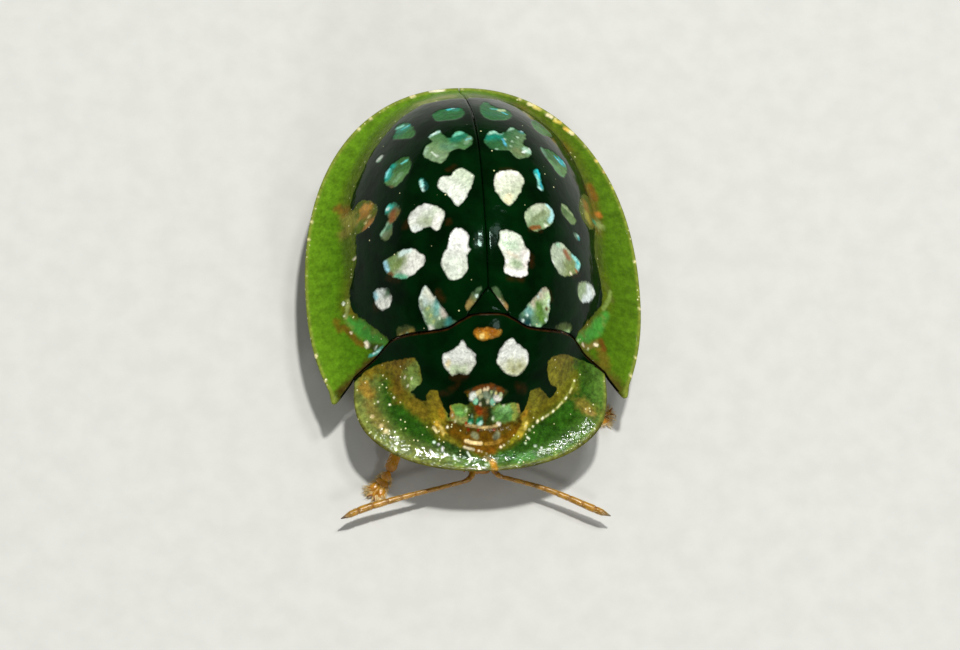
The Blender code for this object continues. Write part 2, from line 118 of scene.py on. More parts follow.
# Silver spots of the wing cases: near colour, far colour, the way toward the far colour, outline.
# The colours are partly the spots' own and partly painted light and shade: spots on the rear and side
# slopes are drawn darker, and light and shade are painted across each spot from near to far colour.
SPOTS = {
    "right_disc_front": ("#f6f8f0", "#dfe6d4", -90, (-52, 10, -40, 13, -29, 2, -29, -17, -25, -24, -33, -33,
        -32, -52, -38, -62, -45, -67, -60, -66, -67, -53, -72, -37, -67, -23, -61, -15, -58, -1)),
    "right_disc_middle": ("#e9eee0", "#cdd9bf", 45, (-42, 115, -31, 119, -22, 111, -13, 103, -17, 89, -23,
        75, -32, 61, -41, 51, -49, 61, -58, 76, -69, 88, -69, 101, -59, 108, -49, 106)),
    "right_disc_side": ("#dbe5cf", "#eef3e4", 160, (-105, 62, -92, 65, -79, 58, -66, 48, -65, 32, -71, 20,
        -78, 15, -87, 24, -95, 25, -102, 22, -113, 24, -116, 36, -117, 52)),
    "right_slope_front": ("#f2f4e8", "#7f9b5c", 160, (-156, -2, -146, 0, -134, 1, -122, 0, -110, -7, -98,
        -22, -97, -30, -106, -38, -117, -43, -127, -44, -140, -35, -151, -22)),
    "right_shoulder": ("#f4f6ec", "#dfe8e2", 120, (-171, -38, -162, -39, -151, -47, -147, -58, -147, -68,
        -154, -73, -163, -67, -168, -54)),
    "right_base": ("#dcf3ed", "#587851", -60, (-98, -67, -89, -78, -80, -92, -70, -107, -59, -120, -50,
        -127, -58, -129, -71, -129, -80, -131, -86, -133, -94, -122, -101, -105, -106, -87, -104, -77)),
    "right_scutellar": ("#4f6a48", "#8a7d48", -120, (-10, -82, -14, -90, -20, -100, -27, -108, -33, -113,
        -36, -104, -31, -96, -23, -88, -17, -83)),
    "right_humeral": ("#3f4a22", "#98853c", -90, (-139, -108, -130, -108, -120, -113, -113, -120, -117,
        -125, -127, -125, -136, -119)),
    "right_cloud": ("#4c7e4a", "#7f9f6d", -130, (-75, 196, -65, 204, -58, 207, -54, 193, -44, 183, -35, 193,
        -25, 197, -17, 189, -8, 177, -13, 164, -23, 156, -36, 158, -47, 153, -53, 142, -64, 134, -76, 144,
        -86, 154, -86, 167, -80, 176, -71, 182)),
    "right_apical": ("#0d6729", "#1e6228", -90, (-59, 258, -49, 264, -35, 262, -22, 262, -14, 254, -15, 238,
        -27, 228, -43, 229, -58, 232, -62, 246)),
    "right_apical_side": ("#1e6e3c", "#316e2c", -50, (-116, 258, -108, 260, -100, 255, -95, 236, -94, 214,
        -101, 208, -113, 215, -125, 226, -119, 239)),
    "right_slope_rear": ("#37692f", "#5e8a4c", -110, (-114, 169, -107, 160, -107, 145, -113, 133, -123, 122,
        -133, 117, -141, 122, -146, 137, -143, 152, -136, 162, -126, 168)),
    "right_edge_rear": ("#6c9372", "#436b46", 60, (-153, 192, -149, 200, -141, 199, -144, 192, -149, 187)),
    "right_link_rear": ("#3d8a6c", "#7a6a2c", -70, (-148, 86, -142, 90, -134, 84, -129, 70, -133, 61, -141,
        55, -146, 69, -150, 78)),
    "right_link_front": ("#4a7a58", "#5f6f40", -70, (-146, 61, -140, 58, -142, 45, -143, 36, -149, 30, -154,
        33, -159, 46, -153, 52, -148, 59)),
    "right_glint": ("#2a8a76", "#174c3c", 0, (-98, 113, -91, 112, -87, 102, -86, 90, -93, 88, -97, 99)),
    "left_disc_front": ("#dfe8d4", "#f2f0e2", -60, (24, 5, 35, 8, 48, 4, 58, -3, 62, -16, 69, -23, 68, -36,
        64, -50, 64, -59, 52, -65, 39, -65, 27, -59, 29, -44, 25, -30, 19, -17, 22, -6)),
    "left_disc_middle": ("#dfe4ce", "#cbd6b6", -60, (24, 108, 38, 113, 53, 114, 64, 110, 68, 97, 63, 82, 55,
        67, 46, 55, 40, 50, 32, 56, 25, 68, 19, 79, 20, 95)),
    "left_disc_side": ("#b9cba6", "#86a070", -60, (78, 54, 91, 62, 103, 64, 113, 59, 116, 46, 107, 29, 94,
        19, 79, 11, 69, 18, 65, 31, 69, 44)),
    "left_slope_front": ("#bccab0", "#86965a", -20, (107, -10, 114, 0, 126, 7, 135, 3, 146, -1, 159, -3,
        161, -13, 154, -26, 140, -37, 125, -45, 116, -38, 108, -27)),
    "left_shoulder": ("#9fb58c", "#e8eee6", -20, (160, -38, 174, -26, 187, -24, 191, -33, 180, -50, 165,
        -63, 157, -58, 155, -48)),
    "left_base": ("#d4efb9", "#658f68", -110, (94, -72, 101, -77, 103, -90, 101, -106, 96, -119, 89, -126,
        84, -130, 77, -129, 63, -131, 51, -129, 49, -124, 59, -111, 70, -98, 80, -87)),
    "left_scutellar": ("#4f6a44", "#8a7a4a", -60, (7, -84, 15, -82, 18, -88, 25, -99, 31, -108, 31, -115,
        23, -112, 15, -103, 9, -94)),
    "left_humeral": ("#46552a", "#6a8048", -60, (114, -120, 125, -111, 136, -105, 144, -106, 140, -115, 131,
        -122, 118, -124)),
    "left_cloud": ("#31663a", "#6a8b5c", -30, (16, 188, 28, 196, 37, 189, 50, 199, 62, 213, 70, 205, 79,
        208, 82, 194, 74, 174, 85, 167, 85, 154, 72, 143, 60, 141, 53, 150, 47, 155, 28, 153, 17, 157, 10,
        167, 11, 178)),
    "left_apical": ("#0c6228", "#1f682c", -60, (16, 267, 29, 288, 35, 275, 44, 266, 56, 267, 65, 260, 65,
        243, 51, 229, 30, 224, 18, 231, 14, 246)),
    "left_apical_side": ("#216520", "#3a7734", -110, (101, 252, 112, 266, 124, 264, 136, 256, 138, 242, 120,
        224, 107, 225, 101, 237)),
    "left_slope_rear": ("#306529", "#5d8a47", -60, (106, 179, 118, 184, 129, 186, 140, 182, 151, 175, 152,
        159, 141, 136, 130, 139, 121, 151, 111, 163)),
    "left_glint": ("#2fa095", "#4b8a74", -80, (87, 121, 94, 126, 98, 116, 98, 103, 101, 93, 98, 86, 91, 92,
        91, 105, 87, 114)),
    "left_edge_middle": ("#57753f", "#6f8a54", -60, (133, 77, 142, 79, 151, 72, 158, 63, 151, 51, 140, 55,
        131, 62)),
    "left_edge_dot": ("#6a8a72", "#4a6a50", -60, (154, 39, 160, 41, 164, 37, 160, 30, 154, 33)),
}
# The black disc's wavy edge: bearing from its middle in degrees, and reach as a share of the disc's oval
EDGE_ANGLES = (-60, -37, -30, -24, -18, -14, -9, -4, 1, 7, 12, 18, 25, 35, 48, 60, 70, 80, 90)
DISC_EDGE = {
    "right": (0.9, 0.9, 0.93, 0.97, 1.01, 1.005, 0.97, 0.93, 0.925, 0.935, 0.955, 0.98, 0.965, 0.945, 0.93,
        0.935, 0.93, 0.88, 0.87),
    "left": (0.91, 0.905, 0.93, 0.965, 1.02, 1.02, 0.99, 0.94, 0.94, 0.97, 0.985, 0.99, 1, 1.02, 1.03, 1.01,
        0.97, 0.9, 0.87),
}

# Clear windows at the wing cases' shoulders, and orange patches at the edge of the disc
SHOULDER_WINDOWS = (
    (-209, -53, -202, -53, -195, -61, -189, -61, -183, -70, -175, -84, -167, -96, -160, -106, -151, -118,
     -156, -120, -170, -110, -179, -104, -186, -95, -195, -88, -198, -82, -204, -71, -209, -63),
    (153, -116, 168, -99, 183, -81, 196, -65, 204, -54, 212, -51, 213, -61, 208, -72, 206, -83, 199, -93,
     190, -99, 179, -109, 168, -115, 156, -120),
)
ORANGE_PATCHES = (
    (-183, 130, -174, 125, -165, 112, -160, 94, -164, 80, -172, 72, -184, 72, -198, 80, -200, 110),
    (175, 124, 186, 143, 198, 142, 204, 120, 200, 93, 190, 75, 179, 74, 171, 81, 168, 98),
)

# Markings of the pronotum, each one or more outlines
PRONOTUM_MARKS = {
    "black": ((-230, -170, -210, -166, -197, -157, -184, -147, -171, -142, -159, -141, -145, -145, -132,
        -150, -119, -153, -111, -157, -104, -172, -101, -187, -109, -191, -116, -193, -112, -199, -103,
        -207, -93, -211, -92, -203, -85, -201, -76, -204, -73, -211, -71, -217, -62, -228, -57, -237, -55,
        -230, -58, -225, -47, -223, -32, -226, -24, -224, -31, -216, -27, -212, -14, -210, -1, -208, 15,
        -211, 33, -212, 27, -219, 21, -225, 29, -227, 42, -224, 54, -225, 58, -234, 65, -227, 71, -214, 73,
        -207, 89, -201, 98, -204, 106, -207, 114, -201, 119, -191, 108, -191, 102, -183, 101, -172, 104,
        -163, 117, -155, 135, -147, 156, -142, 174, -142, 191, -150, 209, -162, 230, -170, 190, -90, 0, -80,
        -190, -90),),
    "silver": (
        (-40, -152, -32, -162, -21, -171, -19, -178, -23, -187, -31, -192, -42, -190, -54, -190, -62, -185,
         -69, -175, -69, -164, -57, -162, -48, -158),
        (38, -151, 48, -157, 62, -162, 66, -168, 65, -179, 55, -190, 45, -194, 33, -193, 23, -188, 16, -180,
         17, -169, 24, -161),
    ),
    "gold": ((-23, -144, -19, -139, -6, -138, 9, -140, 22, -142, 17, -148, 6, -152, -9, -153, -20, -149),),
    "crescent": ((-35, -212, -27, -210, -19, -208, -8, -206, 3, -205, 16, -207, 26, -210, 35, -213, 30,
        -218, 25, -223, 18, -228, 8, -230, -3, -230, -13, -228, -21, -225, -27, -222, -28, -216),),
    "amber": ((-151, -143, -149, -156, -145, -177, -139, -194, -125, -207, -112, -221, -96, -236, -84, -250,
        -72, -266, -56, -277, -35, -285, -15, -291, 8, -291, 29, -284, 47, -274, 64, -260, 76, -246, 92,
        -235, 113, -219, 131, -202, 145, -186, 156, -164, 164, -143, 120, -120, -120, -120),),
    "brown": (
        (-73, -208, -61, -206, -50, -202, -43, -202, -49, -207, -64, -211),
        (46, -204, 56, -201, 65, -204, 62, -210, 51, -210),
        (-58, -190, -42, -190, -30, -193, -36, -198, -50, -198),
    ),
}

# Finer markings, painted as strokes in the order given: colour, half width, and one or more lines
# The near-white dots and patches on the spots are painted highlights
SPOT_STROKES = (
    ("#1c866a", 55, (-35, 264, -23, 259)), ("#9af0e4", 28, (-29, 267, -24, 265)),
    ("#1c856a", 81, (-117, 244, -105, 242)), ("#86d3be", 31, (-117, 253, -107, 252)),
    ("#bfe8dc", 28, (-75, 197, -65, 201, -56, 205)), ("#207759", 73, (-40, 180, -23, 185)),
    ("#74d0af", 36, (-37, 189, -25, 193)), ("#87a37b", 105, (-77, 150, -63, 146)),
    ("#a4c5a2", 32, (-86, 161, -81, 172)), ("#64916b", 65, (-55, 168, -43, 163)),
    ("#7a9f7a", 41, (-20, 169, -13, 179)), ("#149b88", 65, (-143, 143, -140, 156, -134, 160)),
    ("#90f0f0", 29, (-143, 147, -140, 158)), ("#7aa978", 36, (-131, 129, -123, 137)),
    ("#58522b", 32, (-141, 122, -137, 119)), ("#c8d0c8", 29, (-152, 194, -143, 198)),
    ("#e0fff4", 26, (-95, 108, -94, 88)), ("#124a42", 65, (-87, 104, -86, 92)),
    ("#40c8b8", 49, (-147, 82, -143, 84)), ("#e8fff8", 23, (-146, 83)),
    ("#8a5a30", 55, (-139, 73, -141, 61)), ("#9ac8a8", 21, (-157, 44, -148, 57)),
    ("#7a8a68", 49, (-152, 41)), ("#f6f8f0", 65, (-111, 49, -98, 63, -88, 60)),
    ("#b0bc9c", 73, (-95, 38, -84, 31)), ("#fffef4", 65, (-71, 40, -78, 23)),
    ("#f8fff8", 49, (-111, 30, -102, 22)), ("#fffff4", 162, (-107, -25, -98, -23)),
    ("#8aa05c", 81, (-138, -17, -132, -17)), ("#e8fff8", 45, (-130, -2, -119, -1)),
    ("#a8e0f0", 42, (-155, -4, -152, -18)), ("#6ab890", 42, (-138, -34, -125, -44)),
    ("#7a5a38", 26, (-149, -24, -145, -29)), ("#b0e8f0", 39, (-171, -39, -168, -47)),
    ("#4a6a4a", 65, (-149, -49)), ("#e8ecd8", 81, (-95, -76, -83, -89)),
    ("#d0c8b8", 55, (-73, -105, -68, -111)), ("#7ab8ac", 65, (-80, -96, -83, -107)),
    ("#8aa878", 90, (-95, -101, -88, -118)), ("#3a8078", 60, (-61, -124)),
    ("#9aa890", 32, (-104, -86, -102, -96)), ("#fffff0", 58, (-90, -128)), ("#c8d890", 19, (-94, -98)),
    ("#c0d088", 19, (-89, -109)), ("#b8c880", 19, (-85, -118)), ("#d8e8c8", 19, (-76, -116)),
    ("#a08a50", 58, (-32, -104)), ("#e8fff0", 23, (-18, -94)), ("#b08a40", 42, (-124, -125)),
    ("#e8dca0", 39, (-132, -122)), ("#a8d0a8", 21, (-124, -120)), ("#eaf2e2", 81, (-56, -40, -51, -56)),
    ("#bcd69f", 31, (46, 259, 56, 263)), ("#1c693e", 65, (25, 244, 45, 242)),
    ("#7ac8a8", 29, (121, 289, 130, 291)), ("#407f38", 65, (116, 244, 129, 253)),
    ("#14856d", 81, (16, 181, 35, 187)), ("#9ed3b9", 39, (19, 190, 28, 195, 38, 192)),
    ("#a0d0b0", 24, (51, 202, 61, 209)), ("#1c777a", 58, (77, 207)), ("#c8f0f0", 29, (77, 209)),
    ("#748558", 81, (60, 157, 68, 155)), ("#b3ddc3", 49, (76, 163, 84, 160)), ("#9ac8a8", 26, (28, 155)),
    ("#a8c8a8", 19, (44, 179), (56, 176)), ("#b8d8b8", 19, (67, 189)), ("#a8c8a8", 19, (53, 165)),
    ("#2cc2b9", 42, (91, 123)), ("#8ae0d0", 23, (91, 115, 94, 99)), ("#c8f8f0", 39, (95, 90)),
    ("#649860", 49, (121, 156, 140, 139)), ("#14adb2", 52, (145, 185, 144, 172)),
    ("#d8ffff", 21, (150, 176)), ("#649172", 37, (107, 181, 112, 166)),
    ("#f8f8e8", 42, (20, 100, 37, 110, 56, 109)), ("#e8e0b8", 55, (39, 60, 41, 67)),
    ("#d4dcc0", 65, (83, 52, 94, 61)), ("#b8f0f0", 39, (106, 66, 114, 58, 114, 47, 108, 36)),
    ("#8a5a2c", 32, (74, 15, 89, 21)), ("#e8f4d8", 36, (101, 26)), ("#8a9a70", 36, (78, 30, 100, 49)),
    ("#9ab080", 29, (134, 78, 155, 71)), ("#a8d0c0", 29, (161, 39)), ("#c8dcc0", 81, (31, -14, 44, -18)),
    ("#f0e8d0", 29, (35, -29, 49, -35)), ("#a8bc98", 81, (43, -45, 49, -47)),
    ("#fff8f0", 52, (62, -28, 65, -44)), ("#fffef8", 55, (32, -60, 59, -60)), ("#ffffff", 29, (31, -43)),
    ("#9a6a48", 45, (134, -4, 139, -10)), ("#8a9a60", 75, (139, -24)),
    ("#a0f0e8", 47, (150, -2, 159, -9, 158, -16)), ("#20c0d0", 21, (157, -8)), ("#b07a50", 29, (154, -23)),
    ("#f8f0d0", 24, (143, -33)), ("#a8d0b0", 42, (120, 2)), ("#ffffff", 26, (109, -30)),
    ("#f4ffff", 52, (178, -31, 180, -45, 168, -59)), ("#2a5a50", 55, (190, -21)),
    ("#c8c0a8", 65, (95, -72, 74, -100)), ("#7ab0a8", 81, (66, -111)),
    ("#0f3f40", 81, (53, -128, 63, -126)), ("#5f8a38", 97, (87, -103, 87, -112)),
    ("#5a3a18", 26, (97, -101)), ("#c8ffc8", 58, (83, -131)),
    ("#e8fff4", 18, (57, -125), (64, -117), (51, -131), (63, -133), (69, -132), (101, -89), (101, -95),
        (102, -108), (97, -117), (82, -88), (87, -79)), ("#e8e0c0", 23, (13, -98, 22, -106, 28, -115)),
    ("#a08048", 42, (29, -108)), ("#b8e0a8", 29, (127, -124, 138, -118)),
    # Bright cyan and white streaks on the spots' upper edges: painted glints
    ("#48d0d8", 16, (-37, 261, -20, 264)), ("#c0fcfc", 11, (-29, 263, -25, 263)),
    ("#40c0c0", 16, (-109, 243, -99, 245)), ("#a8f0ec", 11, (-102, 245)),
    ("#6cd8cc", 15, (-112, 160, -119, 158)), ("#38b0a0", 18, (-136, 155, -140, 144)),
    ("#a8f0e8", 15, (-94, 110, -93, 98)), ("#e8fff4", 11, (-68, 200, -63, 204)),
    ("#88d8d8", 11, (-20, 176, -11, 179)), ("#50b8b0", 15, (33, 261, 43, 262)),
    ("#38c8d8", 15, (52, 254, 58, 250)), ("#30d0e8", 16, (132, 177, 142, 169)), ("#d0ffff", 10, (138, 174)),
    ("#30d8f0", 16, (95, 128, 96, 112)), ("#20a8b8", 13, (97, 103, 98, 92)),
    ("#58b8d0", 15, (41, 178, 44, 165)), ("#f4fff8", 15, (72, 156, 78, 161)), ("#ffffff", 15, (85, 167)),
    ("#e0f0d8", 11, (-74, 160, -66, 149)), ("#30b0b8", 10, (161, 38, 165, 21, 161, 2)),
)
# Brown and olive patches of the margin, with painted shadow and painted glints where marked below
MARGIN_STROKES = (
    ("#7d7a30", 114, (-202, 92, -197, 98)), ("#8c8a3a", 81, (-201, 125, -192, 100)),
    ("#a8782c", 80, (-175, 111, -176, 98)), ("#b88a3c", 50, (-176, 114, -175, 106)),
    ("#a8783c", 55, (-171, 79, -176, 72)), ("#d8c88a", 21, (-172, 89), (-177, 82)),
    ("#7c6420", 70, (-210, 144, -200, 131)), ("#8e9a44", 97, (-68, 313, -50, 307)),
    ("#8c9440", 81, (-33, 320, -21, 320)), ("#94702c", 65, (184, 121, 185, 108)),
    ("#a8a040", 65, (185, 97, 187, 90)), ("#8a9a58", 81, (209, 100)), ("#b07028", 55, (211, 122)),
    ("#4a9a70", 42, (199, 100)), ("#7a5a18", 65, (200, 172, 207, 154)),
    ("#6a6414", 55, (-226, -56, -221, -71)), ("#546018", 45, (-186, 29, -198, 4, -207, -18, -209, -43)),
    # Dark strokes along the pronotum's rear corners: partly brown, partly painted shadow cast by the
    # pronotum's edge
    ("#463c10", 85, (-164, -126, -186, -142, -208, -160, -226, -176)),
    ("#565018", 85, (172, -134, 192, -146, 210, -160, 228, -176)),
    ("#566420", 36, (200, 65, 197, 36, 195, 9, 213, -5, 222, -31)), ("#6c641a", 75, (196, -118, 205, -141)),
    # Near-white and cream dots along the rim, here and below: painted glints
    ("#fff4d8", 19, (-194, 36)), ("#fff4b8", 32, (113, 329, 120, 328)),
    ("#e8d878", 32, (122, 323, 129, 320)), ("#fff0c0", 32, (142, 309, 148, 306)),
    ("#e8d060", 32, (153, 298, 162, 296)), ("#f0c860", 32, (169, 284, 173, 281)),
    ("#fff0b0", 32, (177, 278, 180, 276)), ("#f0d878", 32, (217, 226)), ("#ffd890", 32, (229, 207)),
    ("#e0e060", 32, (241, 178)), ("#fff8d8", 32, (-46, 355, -28, 356)),
    ("#6a5a16", 39, (-215, -67, -206, -81, -195, -97, -187, -104)),
    ("#3c4a10", 32, (-177, -110, -163, -119)), ("#8a9450", 26, (-206, -24, -208, -40, -211, -53)),
    # Near-white dots and the pale teal streak by the shoulders: painted glints
    ("#e8f4dc", 15, (-213, -27, -213, -30)), ("#e8f0c8", 15, (-213, -49)), ("#f0e0c0", 15, (-204, -80)),
    ("#fff4d8", 24, (-182, -101, -180, -108)), ("#e0f0e0", 13, (-168, -116)),
    ("#4aa890", 23, (-160, -122, -176, -124)), ("#b8f8ec", 11, (-161, -122, -168, -122)),
    ("#d8fff8", 11, (-171, -122)), ("#7a9044", 29, (206, -48, 217, -30, 220, -16)),
    ("#7a7030", 36, (166, -120, 179, -117, 193, -106)), ("#6a4a14", 42, (198, -103, 203, -117)),
    ("#fff0d0", 19, (166, -119)), ("#fff0c8", 24, (188, -111, 191, -111)), ("#d8dcb0", 13, (175, -121)),
    ("#b8d8a0", 13, (156, -117)),
)
FRINGE_STROKES = (
    (49, (-58, 26), (-121, 38, -118, 43)), (42, (-168, -58, -164, -65)), (39, (71, -30, 72, -44)),
    (36, (34, -68, 55, -67)),
    (32, (-52, 118, -43, 123), (-149, -29, -137, -42), (74, 13, 89, 16), (34, 114, 53, 114), (-70, -93,
        -79, -80)), (29, (101, -77, 103, -88)), (32, (146, -34, 156, -23)),
)
# Olive, amber and brown patches of the pronotum. The cream and near-white dots are painted glints.
PRONOTUM_STROKES = (
    ("#7a6a1a", 146, (-181, -148, -162, -140, -145, -148)),
    ("#705c18", 130, (-135, -151, -122, -155, -130, -172, -133, -188)),
    ("#7f9a46", 97, (-117, -170, -112, -187)), ("#94b060", 57, (-114, -185, -111, -191)),
    ("#6c6220", 97, (115, -159, 134, -153)), ("#7f7a20", 130, (111, -176, 124, -187)),
    ("#6a6a1a", 130, (146, -163, 142, -186)), ("#3a5a16", 114, (160, -150, 173, -170)),
    ("#7c6c1c", 97, (-113, -209, -96, -223)), ("#94782a", 81, (-188, -173, -178, -187)),
    ("#b09038", 45, (-185, -165, -181, -185)), ("#847c38", 81, (-183, -200, -171, -225, -159, -242)),
    ("#e0cc90", 32, (-177, -220), (-164, -237)), ("#e8d8a0", 32, (-156, -247)),
    ("#82782c", 105, (161, -209, 178, -220)), ("#a8924a", 42, (169, -219, 177, -223)),
    ("#fffbd8", 13, (-116, -178), (-126, -173), (-142, -195), (-149, -205), (-167, -198), (-121, -185)),
    # The thin line of pale dots on the right: painted glints
    ("#8a9038", 16, (150, -176, 144, -188, 134, -203, 120, -218, 104, -230, 92, -238)),
    ("#dcd890", 8, (145, -186, 141, -194)), ("#fffbd8", 9, (136, -201, 134, -204)),
    ("#e8e4a0", 7, (128, -210, 119, -219)), ("#fffbd8", 9, (114, -223, 112, -225)),
    ("#e8e4a8", 8, (105, -230, 100, -233)), ("#fffbd8", 9, (150, -174)),
)
# The head seen through the clear pronotum. The white, cream and pale mint dots and the pale arcs along the
# head's front edges are painted highlights.
HEAD_STROKES = (
    ("#4c3a06", 114, (-52, -245, -27, -254, 2, -258, 31, -255, 54, -244)),
    ("#6a4a08", 97, (-46, -256, -24, -264, 2, -268, 28, -265, 48, -255)),
    ("#5c440a", 49, (-53, -239, -43, -248, -30, -257)), ("#5e4a08", 49, (51, -242, 41, -251, 30, -258)),
    ("#64400a", 65, (-13, -230, 0, -232, 3, -242, 0, -248)), ("#8a3c0a", 42, (-14, -231, -9, -235)),
    ("#3a4410", 65, (-30, -229, -23, -235, -24, -241)), ("#2c3c10", 55, (8, -231, 11, -240, 5, -247)),
    ("#86b048", 75, (-53, -229, -41, -231, -37, -237)), ("#7cb858", 49, (-44, -232, -37, -238)),
    ("#a8b060", 32, (-50, -238, -38, -242, -31, -242)), ("#c09040", 29, (-58, -225, -55, -231, -51, -236)),
    ("#74a858", 91, (20, -233, 33, -232, 43, -232)), ("#8cc478", 55, (27, -234, 38, -233)),
    ("#62984a", 49, (17, -239, 31, -241, 44, -238)), ("#98a848", 36, (44, -227, 52, -232, 47, -239)),
    ("#b8a050", 23, (53, -225, 55, -231)), ("#0f7a50", 42, (-23, -245)), ("#108858", 52, (-9, -246)),
    ("#c8ffe0", 16, (-23, -247)), ("#d0fff0", 19, (-10, -249, -6, -247)), ("#c8e8a0", 19, (-31, -232)),
    ("#90b890", 15, (-21, -239)), ("#f0f8d0", 18, (29, -227)), ("#d8e8c0", 18, (13, -242)),
    ("#f0e8d0", 21, (21, -248, 24, -248)), ("#d8d0a0", 15, (-47, -242)), ("#e0d8a8", 13, (-52, -235)),
    ("#d4b878", 13, (-30, -248, -19, -250, -4, -252, 10, -252, 20, -250)), ("#a03008", 15, (-30, -246)),
    ("#982a08", 18, (-26, -254), (-10, -255), (15, -255)), ("#7e805c", 42, (-18, -261, -13, -264)),
    ("#7a8060", 42, (18, -265, 21, -261)),
    ("#6a4c0a", 39, (-33, -273, -18, -278, 2, -280, 18, -278, 29, -273)),
    ("#a07a2c", 24, (2, -275, 15, -274, 26, -270)), ("#ffe2a2", 23, (-30, -270, -18, -273, -6, -274)),
    ("#7a4e0c", 49, (-11, -284, 3, -286, 13, -285)), ("#dccfa8", 16, (-33, -279, -26, -281, -18, -283)),
    ("#e8dcb0", 15, (-10, -285)), ("#e8dcb0", 13, (-5, -287)), ("#e8dcb0", 15, (2, -290)),
    ("#ffecc0", 18, (26, -280)), ("#e8e0b0", 13, (31, -277)), ("#faf8d8", 19, (40, -273)),
    ("#6e5a10", 58, (-2, -292, 6, -298)), ("#b88420", 50, (12, -305, 14, -314)),
    ("#ffd070", 16, (12, -300)), ("#fff0c0", 16, (1, -301)), ("#8c7c1c", 81, (-82, -208, -77, -217)),
    ("#94801e", 71, (-77, -219, -72, -228, -70, -238)), ("#a8821c", 38, (-70, -227, -67, -233)),
    ("#94841e", 55, (-82, -228, -77, -239, -71, -250)), ("#c4a038", 36, (-76, -241, -70, -250, -63, -259)),
    ("#f2e2a0", 19, (-81, -247, -76, -254)), ("#dcc468", 18, (-70, -247, -65, -258)),
    ("#7a7420", 36, (-62, -261, -51, -272)), ("#fff8d8", 16, (-59, -248)),
    ("#7c7820", 88, (75, -210, 73, -219, 80, -224)), ("#8a7a1c", 71, (68, -226, 67, -235)),
    ("#a88020", 39, (67, -231, 64, -238)), ("#a8942c", 42, (67, -240, 64, -251, 56, -262)),
    ("#d8c468", 18, (68, -244, 66, -253)), ("#84801e", 32, (52, -265, 41, -274)),
    ("#2c4818", 65, (-62, -273, -47, -282, -28, -293)), ("#e8f4e0", 13, (-28, -287, -21, -299)),
    ("#d0e8c8", 13, (-34, -295), (-50, -291, -48, -297)), ("#3a7220", 73, (29, -295, 46, -294)),
    ("#4f8a38", 73, (56, -299, 76, -293)), ("#ffffff", 15, (-74, -273), (-87, -282)),
    ("#ffffff", 14, (-68, -278, -68, -283)), ("#f0fff0", 13, (-83, -288, -76, -289)),
    ("#e8ffe8", 18, (-81, -269)), ("#fffbd8", 13, (96, -235, 94, -237)),
    ("#fff4c8", 12, (87, -240, 86, -242)), ("#f4f4c8", 12, (79, -249)), ("#d8e0a8", 18, (73, -254)),
    ("#eef8d8", 12, (69, -265, 72, -267)), ("#d0e8b8", 18, (66, -274)),
    ("#e8ffe0", 13, (81, -278, 83, -278)), ("#f4fff0", 13, (92, -281)), ("#d8f0c8", 16, (86, -293)),
)
# The near-white and pale dots on the crescent are painted glints
CRESCENT_STROKES = (
    ("#7a4208", 29, (-20, -211, -11, -208, 2, -207, 15, -209, 26, -212)),
    ("#5a3c08", 24, (-33, -211, -26, -214)), ("#5e6c50", 65, (-13, -219, 1, -219, 12, -219)),
    ("#34401c", 39, (-4, -224, -3, -227)), ("#ece0a4", 23, (-15, -215, -10, -213)),
    ("#ffe6b8", 19, (-3, -211)), ("#ffe6b8", 23, (2, -210)), ("#b0b484", 19, (-10, -219, -7, -218)),
    ("#8c9c80", 32, (-1, -216, 4, -219)), ("#f8fff4", 45, (-22, -218, -20, -219)),
    ("#30b888", 36, (-17, -224)), ("#a8f0c8", 21, (-17, -224, -15, -223)), ("#d4c8a8", 18, (-9, -227)),
    ("#fffaf0", 32, (15, -220, 22, -220)), ("#dcecb4", 21, (24, -216, 23, -217)),
    ("#dccc84", 19, (16, -215)), ("#b8c888", 18, (8, -214)), ("#d8d8b0", 23, (3, -224)),
    ("#8cccac", 32, (10, -224, 12, -226)), ("#b0a878", 18, (10, -230)),
)
SILVER_STROKES = (
    ("#fff0c0", 42, (-62, -176)), ("#c8d8b0", 73, (-53, -185, -40, -188)), ("#a8b890", 26, (-47, -188)),
    ("#cdd0a4", 97, (40, -185, 56, -183)), ("#b0b080", 29, (43, -188)), ("#b4b484", 29, (53, -181)),
    ("#9a5a10", 65, (-17, -142, -4, -143, 9, -143)), ("#d0902c", 49, (-15, -147, -2, -148)),
    ("#ffe08a", 36, (-10, -149)),
)
# Well polished stretches of the pronotum's front edge: half width, line
POLISHED = (
    (110, (-104, -276, -90, -286)), (100, (-78, -280, -70, -286)), (90, (-22, -306, -4, -310)),
    (60, (-166, -236, -140, -258)), (90, (95, -286, 120, -272, 142, -258, 166, -244, 180, -232)),
)


# Small tools


def colour(code):
    """An sRGB hex colour as linear red, green, blue and alpha."""
    parts = [int(code[i : i + 2], 16) / 255 for i in (1, 3, 5)]
    return (*[c / 12.92 if c <= 0.04045 else ((c + 0.055) / 1.055) ** 2.4 for c in parts], 1.0)


def add(tree, kind, inputs=None, **settings):
    """Adds one node, sets its properties and fills or links its sockets."""
    made = tree.nodes.new(kind)
    for key, value in settings.items():
        setattr(made, key, value)
    for key, value in (inputs or {}).items():
        if isinstance(value, bpy.types.NodeSocket):
            tree.links.new(value, made.inputs[key])
        else:
            made.inputs[key].default_value = value
    return made


def step(value, low, high):
    """Runs smoothly from 0 at low to 1 at high."""
    share = np.clip((value - low) / (high - low), 0.0, 1.0)
    return share * share * (3.0 - 2.0 * share)


def blend(tint, code, share):
    """Mixes a hex colour into an array of colours."""
    share = np.clip(share, 0.0, 1.0)[:, None]
    return tint * (1.0 - share) + np.array(colour(code)) * share


